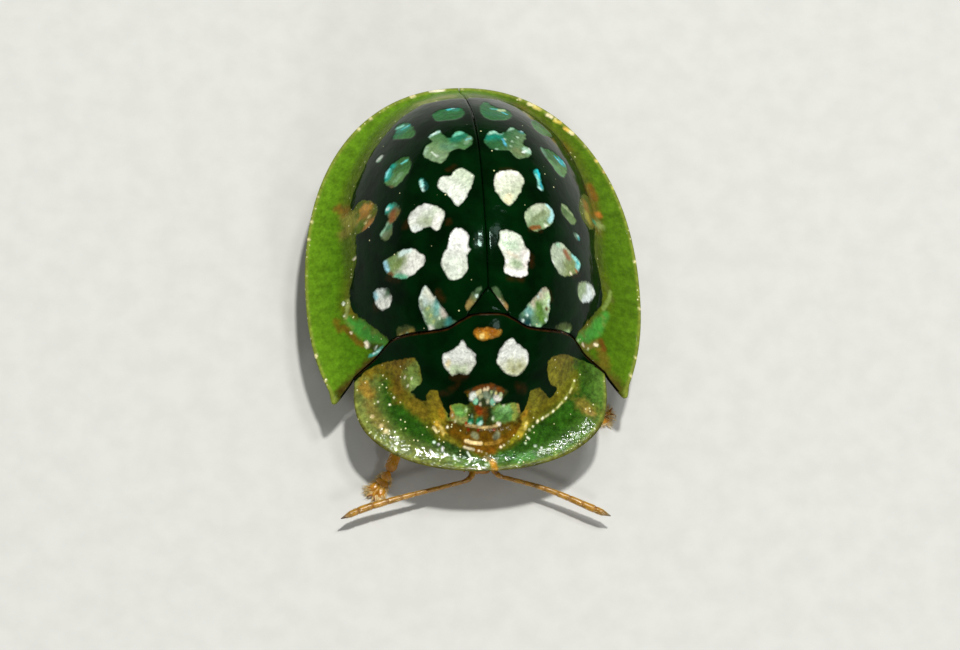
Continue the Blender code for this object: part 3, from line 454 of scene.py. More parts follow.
def smooth(points, steps=6, closed=False):
    """A Catmull-Rom curve through points of any dimension."""
    line = np.array(points, float)
    if closed:
        padded = np.vstack([line[-1:], line, line[:2]])
    else:
        padded = np.vstack([2 * line[:1] - line[1:2], line, 2 * line[-1:] - line[-2:-1]])
    curve = []
    for a, b, c, d in zip(padded, padded[1:], padded[2:], padded[3:]):
        for t in np.arange(steps) / steps:
            square, cube = 2 * a - 5 * b + 4 * c - d, 3 * b - a - 3 * c + d
            curve.append(0.5 * (2 * b + (c - a) * t + square * t**2 + cube * t**3))
    if not closed:
        curve.append(line[-1])
    return np.array(curve)


def resample(line, spacing):
    """Evenly spaced points along an open line, both ends kept."""
    line = np.array(line, float)
    length = np.concatenate([[0.0], np.cumsum(np.linalg.norm(np.diff(line, axis=0), axis=1))])
    targets = np.linspace(0.0, length[-1], max(1, round(length[-1] / spacing)) + 1)
    return np.stack([np.interp(targets, length, line[:, i]) for i in range(line.shape[1])], 1)


def depth_inside(x, y, outline):
    """How far each place lies inside a closed outline, negative outside it."""
    place = np.stack([x, y], 1)
    start = np.array(outline, float)
    edge = np.roll(start, -1, axis=0) - start
    best = np.full(len(place), 1e9)
    crossings = np.zeros(len(place), int)
    for a, way in zip(start, edge):
        away = place - a
        share = np.clip(away @ way / max(way @ way, 1e-12), 0.0, 1.0)
        best = np.minimum(best, np.linalg.norm(away - share[:, None] * way, axis=1))
        spans = (a[1] > y) != (a[1] + way[1] > y)
        if abs(way[1]) > 1e-12:
            crossings += spans & (x < a[0] + (y - a[1]) * way[0] / way[1])
    return np.where(crossings % 2 == 1, best, -best)


def points_of(flat):
    """Points from the x and y numbers of a table, which are hundredths of a millimetre."""
    return np.array(flat, float).reshape(-1, 2) / 100


def depth_inside_any(x, y, outlines):
    """How far each place lies inside the nearest of a table's outlines, which are rounded off."""
    return np.max([depth_inside(x, y, smooth(points_of(o), 4, closed=True)) for o in outlines], axis=0)


def distance_to(x, y, line):
    """Distance to a line of one or more points."""
    place = np.stack([x, y], 1)
    best = np.linalg.norm(place - line[0], axis=1)
    for a, b in zip(line, line[1:]):
        way = b - a
        share = np.clip((place - a) @ way / max(way @ way, 1e-12), 0.0, 1.0)
        best = np.minimum(best, np.linalg.norm(place - a - share[:, None] * way, axis=1))
    return best


def paint(tint, x, y, strokes):
    """Lays strokes over the colours, the wide ones with soft and wavy edges."""
    waves = 0.5 * lumps(x, y, 8.0, 81.0) + 0.5 * lumps(x, y, 19.0, 83.0)
    for code, microns, *lines in strokes:
        half_width = microns / 1000
        loose = np.clip((half_width - 0.03) / 0.05, 0.0, 1.0)
        low, high = (0.6 - 0.45 * loose) * half_width, (1.3 + 0.4 * loose) * half_width + 0.008
        for line in lines:
            far = distance_to(x, y, points_of(line)) + waves * (0.5 + 0.5 * loose) * half_width
            tint = blend(tint, code, 1.0 - step(far, low, high))
    return tint


def lumps(x, y, per_mm, seed):
    """Smooth noise over the shield, about -1 to 1."""
    return np.array([noise.noise(Vector((a * per_mm, b * per_mm, seed))) for a, b in zip(x, y)])


# The shield's surface


def oval_norm(x, y, oval):
    """Share of the way from an oval's middle to its edge."""
    length = np.where(y > oval["middle"], oval["rear"], oval["front"])
    across = np.abs(x / oval["half_width"]) ** oval["power"]
    along = np.abs((y - oval["middle"]) / length) ** oval["power"]
    return (across + along) ** (1.0 / oval["power"])


def shield_height(x, y):
    """Height of the domed disc and the flatter margin, blended where they meet."""
    dome = RIM_HEIGHT + DISC_FOOT_RISE + DOME_HEIGHT * (1.0 - oval_norm(x, y, DISC) ** DOME_POWER)
    margin = RIM_HEIGHT + MARGIN_SLOPE * np.maximum(1.0 - oval_norm(x, y, SHIELD), -0.2)
    return 0.5 * (dome + margin + np.hypot(dome - margin, DOME_FILLET))


def shield_point(x, y, depth):
    """Places that lie depth below the shield's top, measured square to it."""
    nudge = 0.01
    slope_x = (shield_height(x + nudge, y) - shield_height(x - nudge, y)) / (2 * nudge)
    slope_y = (shield_height(x, y + nudge) - shield_height(x, y - nudge)) / (2 * nudge)
    normal = np.stack([-slope_x, -slope_y, np.ones_like(slope_x)], 1)
    normal /= np.linalg.norm(normal, axis=1)[:, None]
    return np.stack([x, y, shield_height(x, y)], 1) - normal * np.reshape(depth, (-1, 1))


def disc_depth(x, y):
    """Distance in from the wavy edge of the black disc."""
    norm = oval_norm(x, y, DISC)
    along = (y - DISC["middle"]) / DISC_HALF_LENGTH
    angle = np.degrees(np.arctan2(along, np.abs(x) / DISC["half_width"]))
    right, left = (np.interp(angle, EDGE_ANGLES, DISC_EDGE[side]) for side in ("right", "left"))
    edge = np.where(x < 0, right, left)
    return (edge - norm) * DISC_HALF_SIZE + 0.012 * lumps(x, y, 5.0, 3.0)


def rim_gap(x, y):
    """Distance in from the shield's rim."""
    return (1.0 - oval_norm(x, y, SHIELD)) * SHIELD_HALF_SIZE


# Outlines seen from above


def shield_rim(start_y, count=240):
    """The rim of the left wing case from start_y to the rear end."""
    ahead = (SHIELD["middle"] - start_y) / SHIELD["front"]
    angles = np.linspace(-math.asin(min(1.0, ahead ** (SHIELD["power"] / 2))), math.pi / 2, count)
    x = SHIELD["half_width"] * np.abs(np.cos(angles)) ** (2 / SHIELD["power"])
    reach = np.where(angles > 0, SHIELD["rear"], -SHIELD["front"])
    y = SHIELD["middle"] + reach * np.abs(np.sin(angles)) ** (2 / SHIELD["power"])
    return np.stack([x, y], 1)


def wing_case_outline():
    """The left wing case: mid line, base, shoulder and rim."""
    base = smooth(BASE_LINE) + [0.0, SEAM]
    base = base[base[:, 0] > SCUTELLUM_HALF_WIDTH + SEAM]
    rim = shield_rim(HUMERAL_TIP[1] + 0.22)
    rim = rim[rim[:, 0] >= SUTURE]
    rear = [SUTURE, rim[-1][1]]
    tip = [SUTURE, SCUTELLUM_TIP_Y + SEAM]
    shoulder = smooth([base[-1], base[-1] + [0.10, -0.14], HUMERAL_TIP, rim[0], rim[3]], 5)[:-5]
    lines = ([tip, base[0]], base, shoulder, rim, [rear, tip])
    return np.vstack([resample(line, PLATE_SPACING)[:-1] for line in lines])


def pronotum_outline(spacing):
    """Along the wing cases' base, then around the free front."""
    rear = smooth(BASE_LINE)
    angles = np.linspace(0.0, math.pi / 2, 60)
    x = PRONOTUM_SIDE[0] * np.abs(np.cos(angles)) ** (2 / PRONOTUM_FRONT_POWER)
    reach = PRONOTUM_FRONT_Y - PRONOTUM_SIDE[1]
    y = PRONOTUM_SIDE[1] + reach * np.abs(np.sin(angles)) ** (2 / PRONOTUM_FRONT_POWER)
    half = resample(np.vstack([rear, np.stack([x, y], 1)]), spacing)
    return np.vstack([half, half[-2:0:-1] * [-1, 1]])


def scutellum_outline():
    """A triangle with its point to the rear."""
    base_y = BASE_LINE[0][1] + SEAM
    corner = (SCUTELLUM_HALF_WIDTH, base_y - 0.01)
    half = resample([(0.0, base_y), corner, (0.0, SCUTELLUM_TIP_Y)], PLATE_SPACING)
    return np.vstack([half, half[-2:0:-1] * [-1, 1]])


# Meshes


def tile(outline, spacing):
    """Points and triangles that fill a closed outline, its own points first."""
    low, high = outline.min(0), outline.max(0)
    rows = np.arange(low[1], high[1], spacing * math.sqrt(3) / 2)
    columns = np.arange(low[0], high[0], spacing)
    x = columns[None, :] + 0.5 * spacing * (np.arange(len(rows)) % 2)[:, None]
    y = np.repeat(rows[:, None], len(columns), 1)
    x, y = x.ravel(), y.ravel()
    keep = depth_inside(x, y, outline) > 0.55 * spacing
    points = np.vstack([outline, np.stack([x[keep], y[keep]], 1)])
    edges = [(i, (i + 1) % len(outline)) for i in range(len(outline))]
    verts, _, faces, *_ = delaunay_2d_cdt([Vector(p) for p in points], edges, [], 1, 1e-7)
    flat = np.array([tuple(v) for v in verts])
    a, b, c = (flat[[f[i] for f in faces]] for i in range(3))
    upward = (b - a)[:, 0] * (c - a)[:, 1] - (b - a)[:, 1] * (c - a)[:, 0] > 0
    return flat, [tuple(f) if up else tuple(reversed(f)) for f, up in zip(faces, upward)]


def walls(outline, count):
    """Faces that join the edge of a top sheet to the same edge of a low sheet, count points further on."""
    a = np.array(outline)
    turns = np.sum(a[:, 0] * np.roll(a[:, 1], -1) - a[:, 1] * np.roll(a[:, 0], -1)) > 0
    made = []
    for i in range(len(outline)):
        j = (i + 1) % len(outline)
        wall = (j, i, i + count, j + count)
        made.append(wall if turns else tuple(reversed(wall)))
    return made


def plate(outline, thickness, relief, spacing=PLATE_SPACING):
    """A thin shell under the shield's surface, with an eased edge."""
    flat, faces = tile(outline, spacing)
    x, y = flat[:, 0], flat[:, 1]
    count = len(x)
    rim = np.maximum(depth_inside(x, y, outline), 0.0)
    rim[: len(outline)] = 0.0
    eased = 1.0 - 0.35 * np.exp(-((rim / 0.012) ** 2))
    top = shield_point(x, y, 0.5 * thickness * (1.0 - eased) - relief(x, y, rim))
    low = shield_point(x, y, 0.5 * thickness * (1.0 + eased))
    sheets = faces + [tuple(i + count for i in reversed(f)) for f in faces] + walls(outline, count)
    return np.vstack([top, low]), sheets, {"edge": np.tile(rim, 2)}


def tube(path, wide, high=None, sides=14, up=(0.0, 0.0, 1.0)):
    """A closed tube along a path, with its half width and half height at each point."""
    path = np.array(path, float)
    wide = np.broadcast_to(np.array(wide, float), len(path))
    high = wide if high is None else np.broadcast_to(np.array(high, float), len(path))
    ahead = np.gradient(path, axis=0)
    ahead /= np.linalg.norm(ahead, axis=1)[:, None]
    side = np.cross(ahead, up)
    side /= np.linalg.norm(side, axis=1)[:, None]
    top = np.cross(side, ahead)
    turn = 2 * math.pi * np.arange(sides) / sides
    ring = (
        path[:, None]
        + side[:, None] * (wide[:, None, None] * np.cos(turn)[None, :, None])
        + top[:, None] * (high[:, None, None] * np.sin(turn)[None, :, None])
    )
    count = len(path) * sides
    points = np.vstack([ring.reshape(-1, 3), path[:1], path[-1:]])
    faces = []
    for row in range(len(path) - 1):
        for i in range(sides):
            j = (i + 1) % sides
            faces.append((row * sides + i, row * sides + j, (row + 1) * sides + j, (row + 1) * sides + i))
    last = (len(path) - 1) * sides
    for i in range(sides):
        j = (i + 1) % sides
        faces.append((count, j, i))
        faces.append((count + 1, last + i, last + j))
    share = np.concatenate([np.repeat(np.linspace(0, 1, len(path)), sides), [0.0, 1.0]])
    return points, faces, {"along": share}


def pod(start, end, wide, high=None, swell=0.5, blunt=0.5, sides=16, rings=14, up=(0.0, 0.0, 1.0)):
    """A closed barrel from start to end, fullest at swell, with rounded ends."""
    start, end = np.array(start, float), np.array(end, float)
    share = 0.5 - 0.5 * np.cos(np.linspace(0.0, math.pi, rings))
    warped = np.where(share < swell, 0.5 * share / swell, 0.5 + 0.5 * (share - swell) / (1.0 - swell))
    full = np.maximum(np.sin(math.pi * warped), 0.0) ** blunt
    full = np.maximum(full, 0.02)
    path = start + (end - start) * share[:, None]
    return tube(path, full * wide, full * (wide if high is None else high), sides, up)


def merge(parts):
    """Several closed meshes as one, with the marks that any of them carries."""
    names = sorted({name for part in parts for name in part[2]})
    points, faces, marks, start = [], [], {name: [] for name in names}, 0
    for place, part_faces, part_marks in parts:
        points.append(place)
        faces += [tuple(i + start for i in face) for face in part_faces]
        for name in names:
            marks[name].append(part_marks.get(name, np.full(len(place), -1.0)))
        start += len(place)
    return np.vstack(points), faces, {name: np.concatenate(marks[name]) for name in names}


def show(name, part, material, replaces=()):
    """Makes the piece in metres, gives it its marks and finish, and sets it on the frame."""
    points, faces, marks = part
    placed = (points + [0.0, FRAME_SHIFT_Y, 0.0]) * MM
    mesh = bpy.data.meshes.new(name)
    mesh.from_pydata(placed.tolist(), [], [tuple(int(i) for i in f) for f in faces])
    for mark, values in marks.items():
        if values.ndim == 2:
            layer = mesh.attributes.new(mark, "FLOAT_COLOR", "POINT")
            layer.data.foreach_set("color", np.ascontiguousarray(values, np.float32).ravel())
        else:
            layer = mesh.attributes.new(mark, "FLOAT", "POINT")
            layer.data.foreach_set("value", np.ascontiguousarray(values, np.float32))
    mesh.validate()
    mesh.shade_smooth()
    mesh.materials.append(material)
    obj = bpy.data.objects.new(name, mesh)
    bpy.context.scene.collection.objects.link(obj)
    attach(obj, "root")
    if replaces:
        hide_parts(*replaces)
    return obj


# Finishes

NOISE, CELLS = "ShaderNodeTexNoise", "ShaderNodeTexVoronoi"
BORDERS = {"feature": "DISTANCE_TO_EDGE"}
# Patterns: node, its settings, its output, and the span of that output drawn out to 0..1. A scale is one
# over the real size in millimetres, unless the real one is too fine to show in the picture.
PATTERNS = {
    # Clouds of pigment, 0.4 mm across
    "coarse": (NOISE, {"Scale": 2.4, "Detail": 3.0}, {}, "Fac", 0.35, 0.65),
    # Mottling, 0.1 mm across
    "fine": (NOISE, {"Scale": 10.0, "Detail": 2.0}, {}, "Fac", 0.32, 0.68),
    # Leathery grain: under 0.01 mm in life and too fine to show, so it is drawn 0.04 mm across
    "grain": (NOISE, {"Scale": 24.0, "Detail": 1.0}, {}, "Fac", 0.25, 0.75),
    # Crumples of the silver layer, 0.08 mm across
    "crumple": (NOISE, {"Scale": 13.0, "Detail": 1.5, "Distortion": 0.6}, {}, "Fac", 0.3, 0.7),
    # Honeycomb of the clear margin, 0.12 mm across
    "cells": (CELLS, {"Scale": 8.5}, BORDERS, "Distance", 0.16, 0.0),
    # Eye facets: about 0.015 mm in life and too fine to show, so they are drawn 0.026 mm across
    "facets": (CELLS, {"Scale": 38.0}, BORDERS, "Distance", 0.0, 0.3),
    # Pits of the underside, 0.14 mm apart
    "pits": (CELLS, {"Scale": 7.0, "Randomness": 0.8}, {}, "Distance", 0.10, 0.26),
    # Painted glints: pale dots, 0.03 mm across, at most one in each 0.07 mm cell
    "dots": (CELLS, {"Scale": 15.0}, {}, "Distance", 0.26, 0.12),
}
# Places in the mix node's list of sockets
SHARE, FIRST_NUMBER, SECOND_NUMBER, FIRST_COLOUR, SECOND_COLOUR = 0, 2, 3, 6, 7
MIXED_NUMBER, MIXED_COLOUR = 0, 2
SHADER_SOCKETS = {
    "colour": "Base Color",
    "metal": "Metallic",
    "rough": "Roughness",
    "alpha": "Alpha",
    "coat": "Coat Weight",
}


# How far the edges of markings wander, in millimetres
EDGE_WOBBLE = 0.010


def cuticle(name, ground, layers=(), **shader_values):
    """A finish built up in layers, each shown where its mark is above zero.

    A layer is a dict: mark, colours (two, or the name of a colour mark), mottle (pattern), shade (patterns,
    each with the least and the most it leaves of the colour), metal, rough, alpha, coat, relief (pattern
    and rise in mm), soft (half width of its edge in mm) and amount. A layer of dots takes its mark as the
    share of cells with a dot.
    """
    material = bpy.data.materials.new(name)
    material.use_nodes = True
    tree = material.node_tree
    shader = tree.nodes["Principled BSDF"]
    spot = add(tree, "ShaderNodeTexCoord").outputs["Object"]
    place = add(tree, "ShaderNodeVectorMath", {0: spot, "Scale": 1 / MM}, operation="SCALE").outputs[0]
    made = {}

    def pattern(kind):
        if kind not in made:
            node, inputs, settings, output, low, high = PATTERNS[kind]
            texture = add(tree, node, {"Vector": place, **inputs}, **settings)
            spread = {"Value": texture.outputs[output], "From Min": low, "From Max": high}
            made[kind] = add(tree, "ShaderNodeMapRange", spread).outputs["Result"]
            made[kind + " cell"] = texture.outputs["Color"] if kind == "dots" else None
        return made[kind]

    state = {}
    for layer in (ground, *layers):
        colours = layer["colours"]
        if isinstance(colours, str):
            tint = add(tree, "ShaderNodeAttribute", attribute_name=colours).outputs["Color"]
        else:
            two = {FIRST_COLOUR: colour(colours[0]), SECOND_COLOUR: colour(colours[1])}
            mixed = {SHARE: pattern(layer.get("mottle", "fine")), **two}
            tint = add(tree, "ShaderNodeMix", mixed, data_type="RGBA").outputs[MIXED_COLOUR]
        for kind, low, high in layer.get("shade", ()):
            span = {"Value": pattern(kind), "To Min": low, "To Max": high}
            level = add(tree, "ShaderNodeMapRange", span).outputs["Result"]
            tint = add(tree, "ShaderNodeVectorMath", {0: tint, "Scale": level}, operation="SCALE").outputs[0]
        values = {"colour": tint}
        for key, fallback in (("metal", 0.0), ("rough", 0.3), ("alpha", 1.0), ("coat", 0.0)):
            values[key] = layer.get(key, fallback)
            if isinstance(values[key], str):
                values[key] = add(tree, "ShaderNodeAttribute", attribute_name=values[key]).outputs["Fac"]
        if layer.get("relief"):
            kind, rise = layer["relief"]
            bumps = {0: pattern(kind), 1: rise}
            values["relief"] = add(tree, "ShaderNodeMath", bumps, operation="MULTIPLY").outputs[0]
        elif not state:
            values["relief"] = 0.0
        if not state:
            state = values
            continue
        mark = add(tree, "ShaderNodeAttribute", attribute_name=layer["mark"]).outputs["Fac"]
        if layer.get("dots"):
            dots = pattern("dots")
            cell = add(tree, "ShaderNodeSeparateColor", {0: made["dots cell"]}).outputs[0]
            chosen = add(tree, "ShaderNodeMath", {0: cell, 1: mark}, operation="LESS_THAN").outputs[0]
            mask = add(tree, "ShaderNodeMath", {0: dots, 1: chosen}, operation="MULTIPLY").outputs[0]
        else:
            if layer.get("ragged", True):
                edge = {"Value": pattern("fine"), "To Min": -EDGE_WOBBLE, "To Max": EDGE_WOBBLE}
                ragged = made.setdefault("edge", add(tree, "ShaderNodeMapRange", edge).outputs["Result"])
                mark = add(tree, "ShaderNodeMath", {0: mark, 1: ragged}, operation="ADD").outputs[0]
            soft = layer.get("soft", 0.008)
            span = {"Value": mark, "From Min": -soft, "From Max": soft, "To Max": layer.get("amount", 1.0)}
            mask = add(tree, "ShaderNodeMapRange", span).outputs["Result"]
        for key, value in values.items():
            if key == "colour":
                mixed = {SHARE: mask, FIRST_COLOUR: state[key], SECOND_COLOUR: value}
                state[key] = add(tree, "ShaderNodeMix", mixed, data_type="RGBA").outputs[MIXED_COLOUR]
            elif isinstance(state[key], bpy.types.NodeSocket) or state[key] != value:
                mixed = {SHARE: mask, FIRST_NUMBER: state[key], SECOND_NUMBER: value}
                state[key] = add(tree, "ShaderNodeMix", mixed).outputs[MIXED_NUMBER]
    for key, socket in SHADER_SOCKETS.items():
        if isinstance(state[key], bpy.types.NodeSocket):
            tree.links.new(state[key], shader.inputs[socket])
        else:
            shader.inputs[socket].default_value = state[key]
    if isinstance(state["relief"], bpy.types.NodeSocket):
        bump = add(tree, "ShaderNodeBump", {"Height": state["relief"], "Distance": MM, "Strength": 1.0})
        tree.links.new(bump.outputs["Normal"], shader.inputs["Normal"])
        tree.links.new(bump.outputs["Normal"], shader.inputs["Coat Normal"])
    for socket, value in shader_values.items():
        shader.inputs[socket.replace("_", " ")].default_value = value
    return material


def make_finishes():
    """Every finish of the beetle."""
    # Near-black; its faint green is a painted reflection of green surroundings
    black = {"colours": ("#011202", "#022206"), "mottle": "coarse", "rough": 0.10,
             "relief": ("coarse", 0.004)}
    silver = {"colours": "spot_tint", "shade": (("fine", 0.78, 1.18), ("grain", 0.80, 1.16)), "metal": 0.12,
              "rough": 0.36, "coat": 0.15, "soft": 0.016, "relief": ("crumple", 0.004)}
    fringe = {"mark": "fringe", "colours": ("#2e1404", "#4a260a"), "soft": 0.04, "amount": 0.4, "rough": 0.2,
              "coat": 0.1}
    # Painted glints: pale dots in the colour that stand for light flashing off pits and the rim
    painted_glints = {"mark": "painted_glints", "colours": ("#f4ecb8", "#c0c488"), "mottle": "grain", "dots": True,
               "rough": 0.2, "coat": 0.6}
    shell = {"Specular_IOR_Level": 0.04, "Specular_Tint": colour("#c4e4dc"), "Coat_Roughness": 0.06,
             "Coat_IOR": 1.5}
    made = {}
    # Elytral cuticle: horn-clear margin with a honeycomb of tracheae, black lacquered disc, silver-leaf pits
    made["wing_case"] = cuticle(
        "wing_case_cuticle",
        {"colours": "ground_tint", "shade": (("fine", 0.80, 1.14), ("grain", 0.86, 1.12)), "rough": 0.32,
         "alpha": "clear", "coat": 0.08, "relief": ("cells", 0.004)},
        (
            {"mark": "disc", **black},
            fringe,
            {"mark": "spot", **silver},
            painted_glints,
            {"mark": "suture", "colours": ("#020502", "#060703"), "soft": 0.006, "ragged": False},
        ),
        **shell,
    )
    # Pronotal cuticle: thick clear horn over an amber head, black saddle with silver pits
    made["pronotum"] = cuticle(
        "pronotum_cuticle",
        {"colours": "ground_tint", "shade": (("fine", 0.62, 1.32), ("grain", 0.70, 1.25)), "rough": 0.2,
         "alpha": "clear", "coat": "gloss", "relief": ("crumple", 0.0035)},
        (
            {"mark": "disc", **black},
            fringe,
            {"mark": "spot", **silver, "relief": ("crumple", 0.007)},
            painted_glints,
            {"mark": "seam", "colours": ("#120a03", "#3a2008"), "rough": 0.25, "ragged": False},
        ),
        **shell,
    )
    # Scutellum: the same black cuticle
    made["scutellum"] = cuticle("scutellum_cuticle", black, **shell)
    # Limb cuticle: honey-amber, lit through, browner at the joints
    amber = {"colours": ("#a86e0a", "#d09420"), "rough": 0.26, "coat": 0.35, "relief": ("grain", 0.004)}
    joint = {"mark": "joint", "colours": ("#7a4a08", "#96620e"), "soft": 0.5, "rough": 0.35, "ragged": False}
    crease = {"soft": 0.4, "ragged": False}
    glow = {"Subsurface_Weight": 0.3, "Subsurface_Radius": (1.0, 0.45, 0.12), "Subsurface_Scale": 0.0001}
    made["limb"] = cuticle("limb_cuticle", amber, (joint,), **glow)
    # Feeler cuticle: yellow-amber, silvery dark at the tip
    made["feeler"] = cuticle(
        "feeler_cuticle",
        {"colours": ("#8e6408", "#c08c1a"), "rough": 0.3, "coat": 0.3, "relief": ("grain", 0.003)},
        (
            joint,
            {"mark": "tip", "colours": ("#241d14", "#7a766c"), "mottle": "grain", **crease, "soft": 0.5},
        ),
        **glow,
    )
    # Head capsule: polished amber-brown horn with a fine leathery grain
    made["head"] = cuticle(
        "head_cuticle",
        {"colours": ("#8a5a10", "#b07818"), "rough": 0.25, "coat": 0.3, "relief": ("grain", 0.004)},
        (
            {"mark": "groove", "colours": ("#3a1e05", "#5a3008"), **crease, "rough": 0.4},
            {"mark": "pale", "colours": ("#c8922c", "#d8a848"), **crease},
        ),
        **glow,
    )
    # Underside: brown sclerites, paler at the flanks, dark in the grooves
    made["underside"] = cuticle(
        "underside_cuticle",
        {"colours": ("#2c1606", "#4a270a"), "mottle": "coarse", "rough": 0.35, "relief": ("pits", 0.006)},
        (
            {"mark": "flank", "colours": ("#8a5210", "#a86c1c"), "soft": 0.25, "rough": 0.35},
            {"mark": "groove", "colours": ("#150a03", "#241206"), **crease, "rough": 0.5},
        ),
    )
    # Compound eye: near-black facets under a clear lens
    made["eye"] = cuticle(
        "eye_lens",
        {"colours": ("#120a06", "#1f1009"), "rough": 0.12, "coat": 0.8, "relief": ("facets", 0.004)},
        Coat_Roughness=0.05,
    )
    # Claw: dark horn, paler at its root
    made["claw"] = cuticle(
        "claw_horn",
        {"colours": ("#8a4c10", "#a5641c"), "rough": 0.25, "relief": ("grain", 0.003)},
        ({"mark": "tip", "colours": ("#1c0d04", "#2c1606"), **crease, "rough": 0.2},),
    )
    # Bristles: stiff, straw-gold, glassy
    straw = {"colours": ("#d8a840", "#fff0c0"), "mottle": "grain", "rough": 0.28}
    made["bristle"] = cuticle("straw_bristle", straw)
    # Matt card: a pale grey that takes soft shadows
    card = {"colours": ("#d2d2ce", "#d7d7d3"), "mottle": "coarse", "rough": 0.9}
    made["card"] = cuticle("matt_card", card)
    return made


# Shield plates


def spot_marks(x, y):
    """Distance inside the nearest silver spot, and its colour at each place."""
    spot = np.full(len(x), -1.0)
    tint = np.ones((len(x), 4))
    for near, far, heading, outline in SPOTS.values():
        line = points_of(outline)
        low, high = line.min(0) - 0.2, line.max(0) + 0.2
        close = (x > low[0]) & (x < high[0]) & (y > low[1]) & (y < high[1])
        if not close.any():
            continue
        at_x, at_y = x[close], y[close]
        deep = depth_inside(at_x, at_y, smooth(line, 3, closed=True))
        # Near to far colour across the spot: partly painted light and shade
        way = np.array([math.cos(math.radians(heading)), math.sin(math.radians(heading))])
        reach = line @ way
        start, end = 0.7 * reach.min() + 0.3 * reach.max(), 0.2 * reach.min() + 0.8 * reach.max()
        share = step(np.stack([at_x, at_y], 1) @ way, start, end)
        mixed = blend(np.tile(colour(near), (len(at_x), 1)), far, share)
        mixed[:, :3] *= (1.0 + 0.10 * lumps(at_x, at_y, 9.0, 21.0))[:, None]
        nearer = deep > spot[close]
        where = np.flatnonzero(close)[nearer]
        tint[where] = mixed[nearer]
        spot[where] = deep[nearer]
    return spot, tint


def margin_tint(x, y, disc, gap):
    """Olive-green horn: radial brush lines, browner beside the disc, a bright rim with painted glints dotted
    along it.
    """
    turn = np.arctan2(y, x)
    brush = lumps(turn * 30.0, gap * 2.0, 1.0, 33.0) + 0.6 * lumps(turn * 70.0, gap * 3.0, 1.0, 35.0)
    tint = blend(np.tile(colour("#648f1a"), (len(x), 1)), "#49740e", step(gap, 0.02, 0.75))
    tint = blend(tint, "#46640c", 0.6 * step(x, -0.4, 1.2))
    tint = blend(tint, "#5a5c14", 0.6 * (1.0 - step(-disc, 0.02, 0.30)))
    tint[:, :3] *= (1.0 + 0.22 * brush)[:, None]
    patchy = step(lumps(x, y, 1.6, 41.0), 0.12, 0.4) * (1.0 - step(-disc, 0.03, 0.22))
    tint = blend(tint, "#7a5a18", 0.5 * patchy)
    tint = blend(tint, "#8f9a3c", 0.8 * (1.0 - step(gap, 0.025, 0.07)))
    # Painted glints: pale dots along the rim
    painted_rim_glints = step(lumps(turn * 26.0, turn * 0.0, 1.0, 51.0), 0.25, 0.45)
    tint = blend(tint, "#f0e6a8", painted_rim_glints * (1.0 - step(gap, 0.03, 0.06)))
    window = depth_inside_any(x, y, SHOULDER_WINDOWS)
    tint = blend(tint, "#4c9a38", step(window + 0.03 * lumps(x, y, 6.0, 45.0), -0.05, 0.05))
    tint = blend(tint, "#78883c", 0.6 * step(window, -0.05, 0.02) * step(lumps(x, y, 9.0, 47.0), 0.1, 0.4))
    return paint(tint, x, y, MARGIN_STROKES)


def wing_case(side, finishes):
    """One wing case with its black disc, silver spots and clear margin."""
    sign = 1 if side == "left" else -1

    def black_depth(x, y):
        holes = np.maximum(depth_inside_any(x, y, SHOULDER_WINDOWS), depth_inside_any(x, y, ORANGE_PATCHES))
        return np.minimum(disc_depth(x, y), -holes)

    def relief(x, y, rim):
        spot, _ = spot_marks(sign * x, y)
        disc = black_depth(sign * x, y)
        gap = rim_gap(x, y)
        sunk = -0.012 * step(spot, -0.02, 0.03)
        gutter = -0.014 * np.exp(-(((disc + 0.035) / 0.03) ** 2)) * (0.7 + 0.6 * lumps(x, y, 7.0, 9.0))
        waves = 0.007 * lumps(x, y, 2.2, 5.0) * step(disc, 0.0, 0.3)
        bead = 0.022 * np.exp(-((gap / 0.05) ** 2))
        return sunk + gutter + waves + bead

    points, faces, marks = plate(wing_case_outline(), SHELL_THICKNESS, relief)
    points[:, 0] *= sign
    if sign < 0:
        faces = [tuple(reversed(f)) for f in faces]
    half = len(points) // 2
    x, y = points[:half, 0], points[:half, 1]
    spot, tint = spot_marks(x, y)
    disc = black_depth(x, y)
    gap = rim_gap(x, y)
    edge = marks["edge"][:half]
    fringe = np.full(half, -1.0)
    for microns, *lines in FRINGE_STROKES:
        for line in lines:
            fringe = np.maximum(fringe, microns / 1000 - distance_to(x, y, points_of(line)))
    window = depth_inside_any(x, y, SHOULDER_WINDOWS)
    patch = depth_inside_any(x, y, ORANGE_PATCHES)
    found = {
        "disc": disc,
        "spot": spot,
        "spot_tint": paint(tint, x, y, SPOT_STROKES),
        "ground_tint": margin_tint(x, y, disc, gap),
        "clear": 0.95 - 0.10 * step(window, -0.02, 0.04) + 0.05 * step(patch, -0.1, 0.0),
        "fringe": fringe,
        # Painted glints along the disc's edge and the rim, and a few on the disc
        "painted_glints": 0.3 * (np.abs(disc + 0.03) < 0.03) + 0.4 * (gap < 0.05) + 0.012 * (disc > 0.0),
        "suture": np.where((gap > 0.09) & (np.abs(x) > 0.02), 0.010 - edge, -1.0),
    }
    marks = {name: np.concatenate([value, value]) for name, value in found.items()}
    part = (points, faces, marks)
    show(f"wing_case_{side}", part, finishes["wing_case"], (f"elytron_{side}",))


def measure_pronotum(x, y):
    """Distance inside each of the pronotum's markings."""
    return {name: depth_inside_any(x, y, outlines) for name, outlines in PRONOTUM_MARKS.items()}


def front_gap(x, y):
    """Distance in from the pronotum's free front and side edge."""
    power = PRONOTUM_FRONT_POWER
    across = np.abs(x / PRONOTUM_SIDE[0]) ** power
    along = np.abs(np.minimum(y - PRONOTUM_SIDE[1], 0.0) / (PRONOTUM_FRONT_Y - PRONOTUM_SIDE[1])) ** power
    return (1.0 - (across + along) ** (1.0 / power)) * PRONOTUM_HALF_SIZE


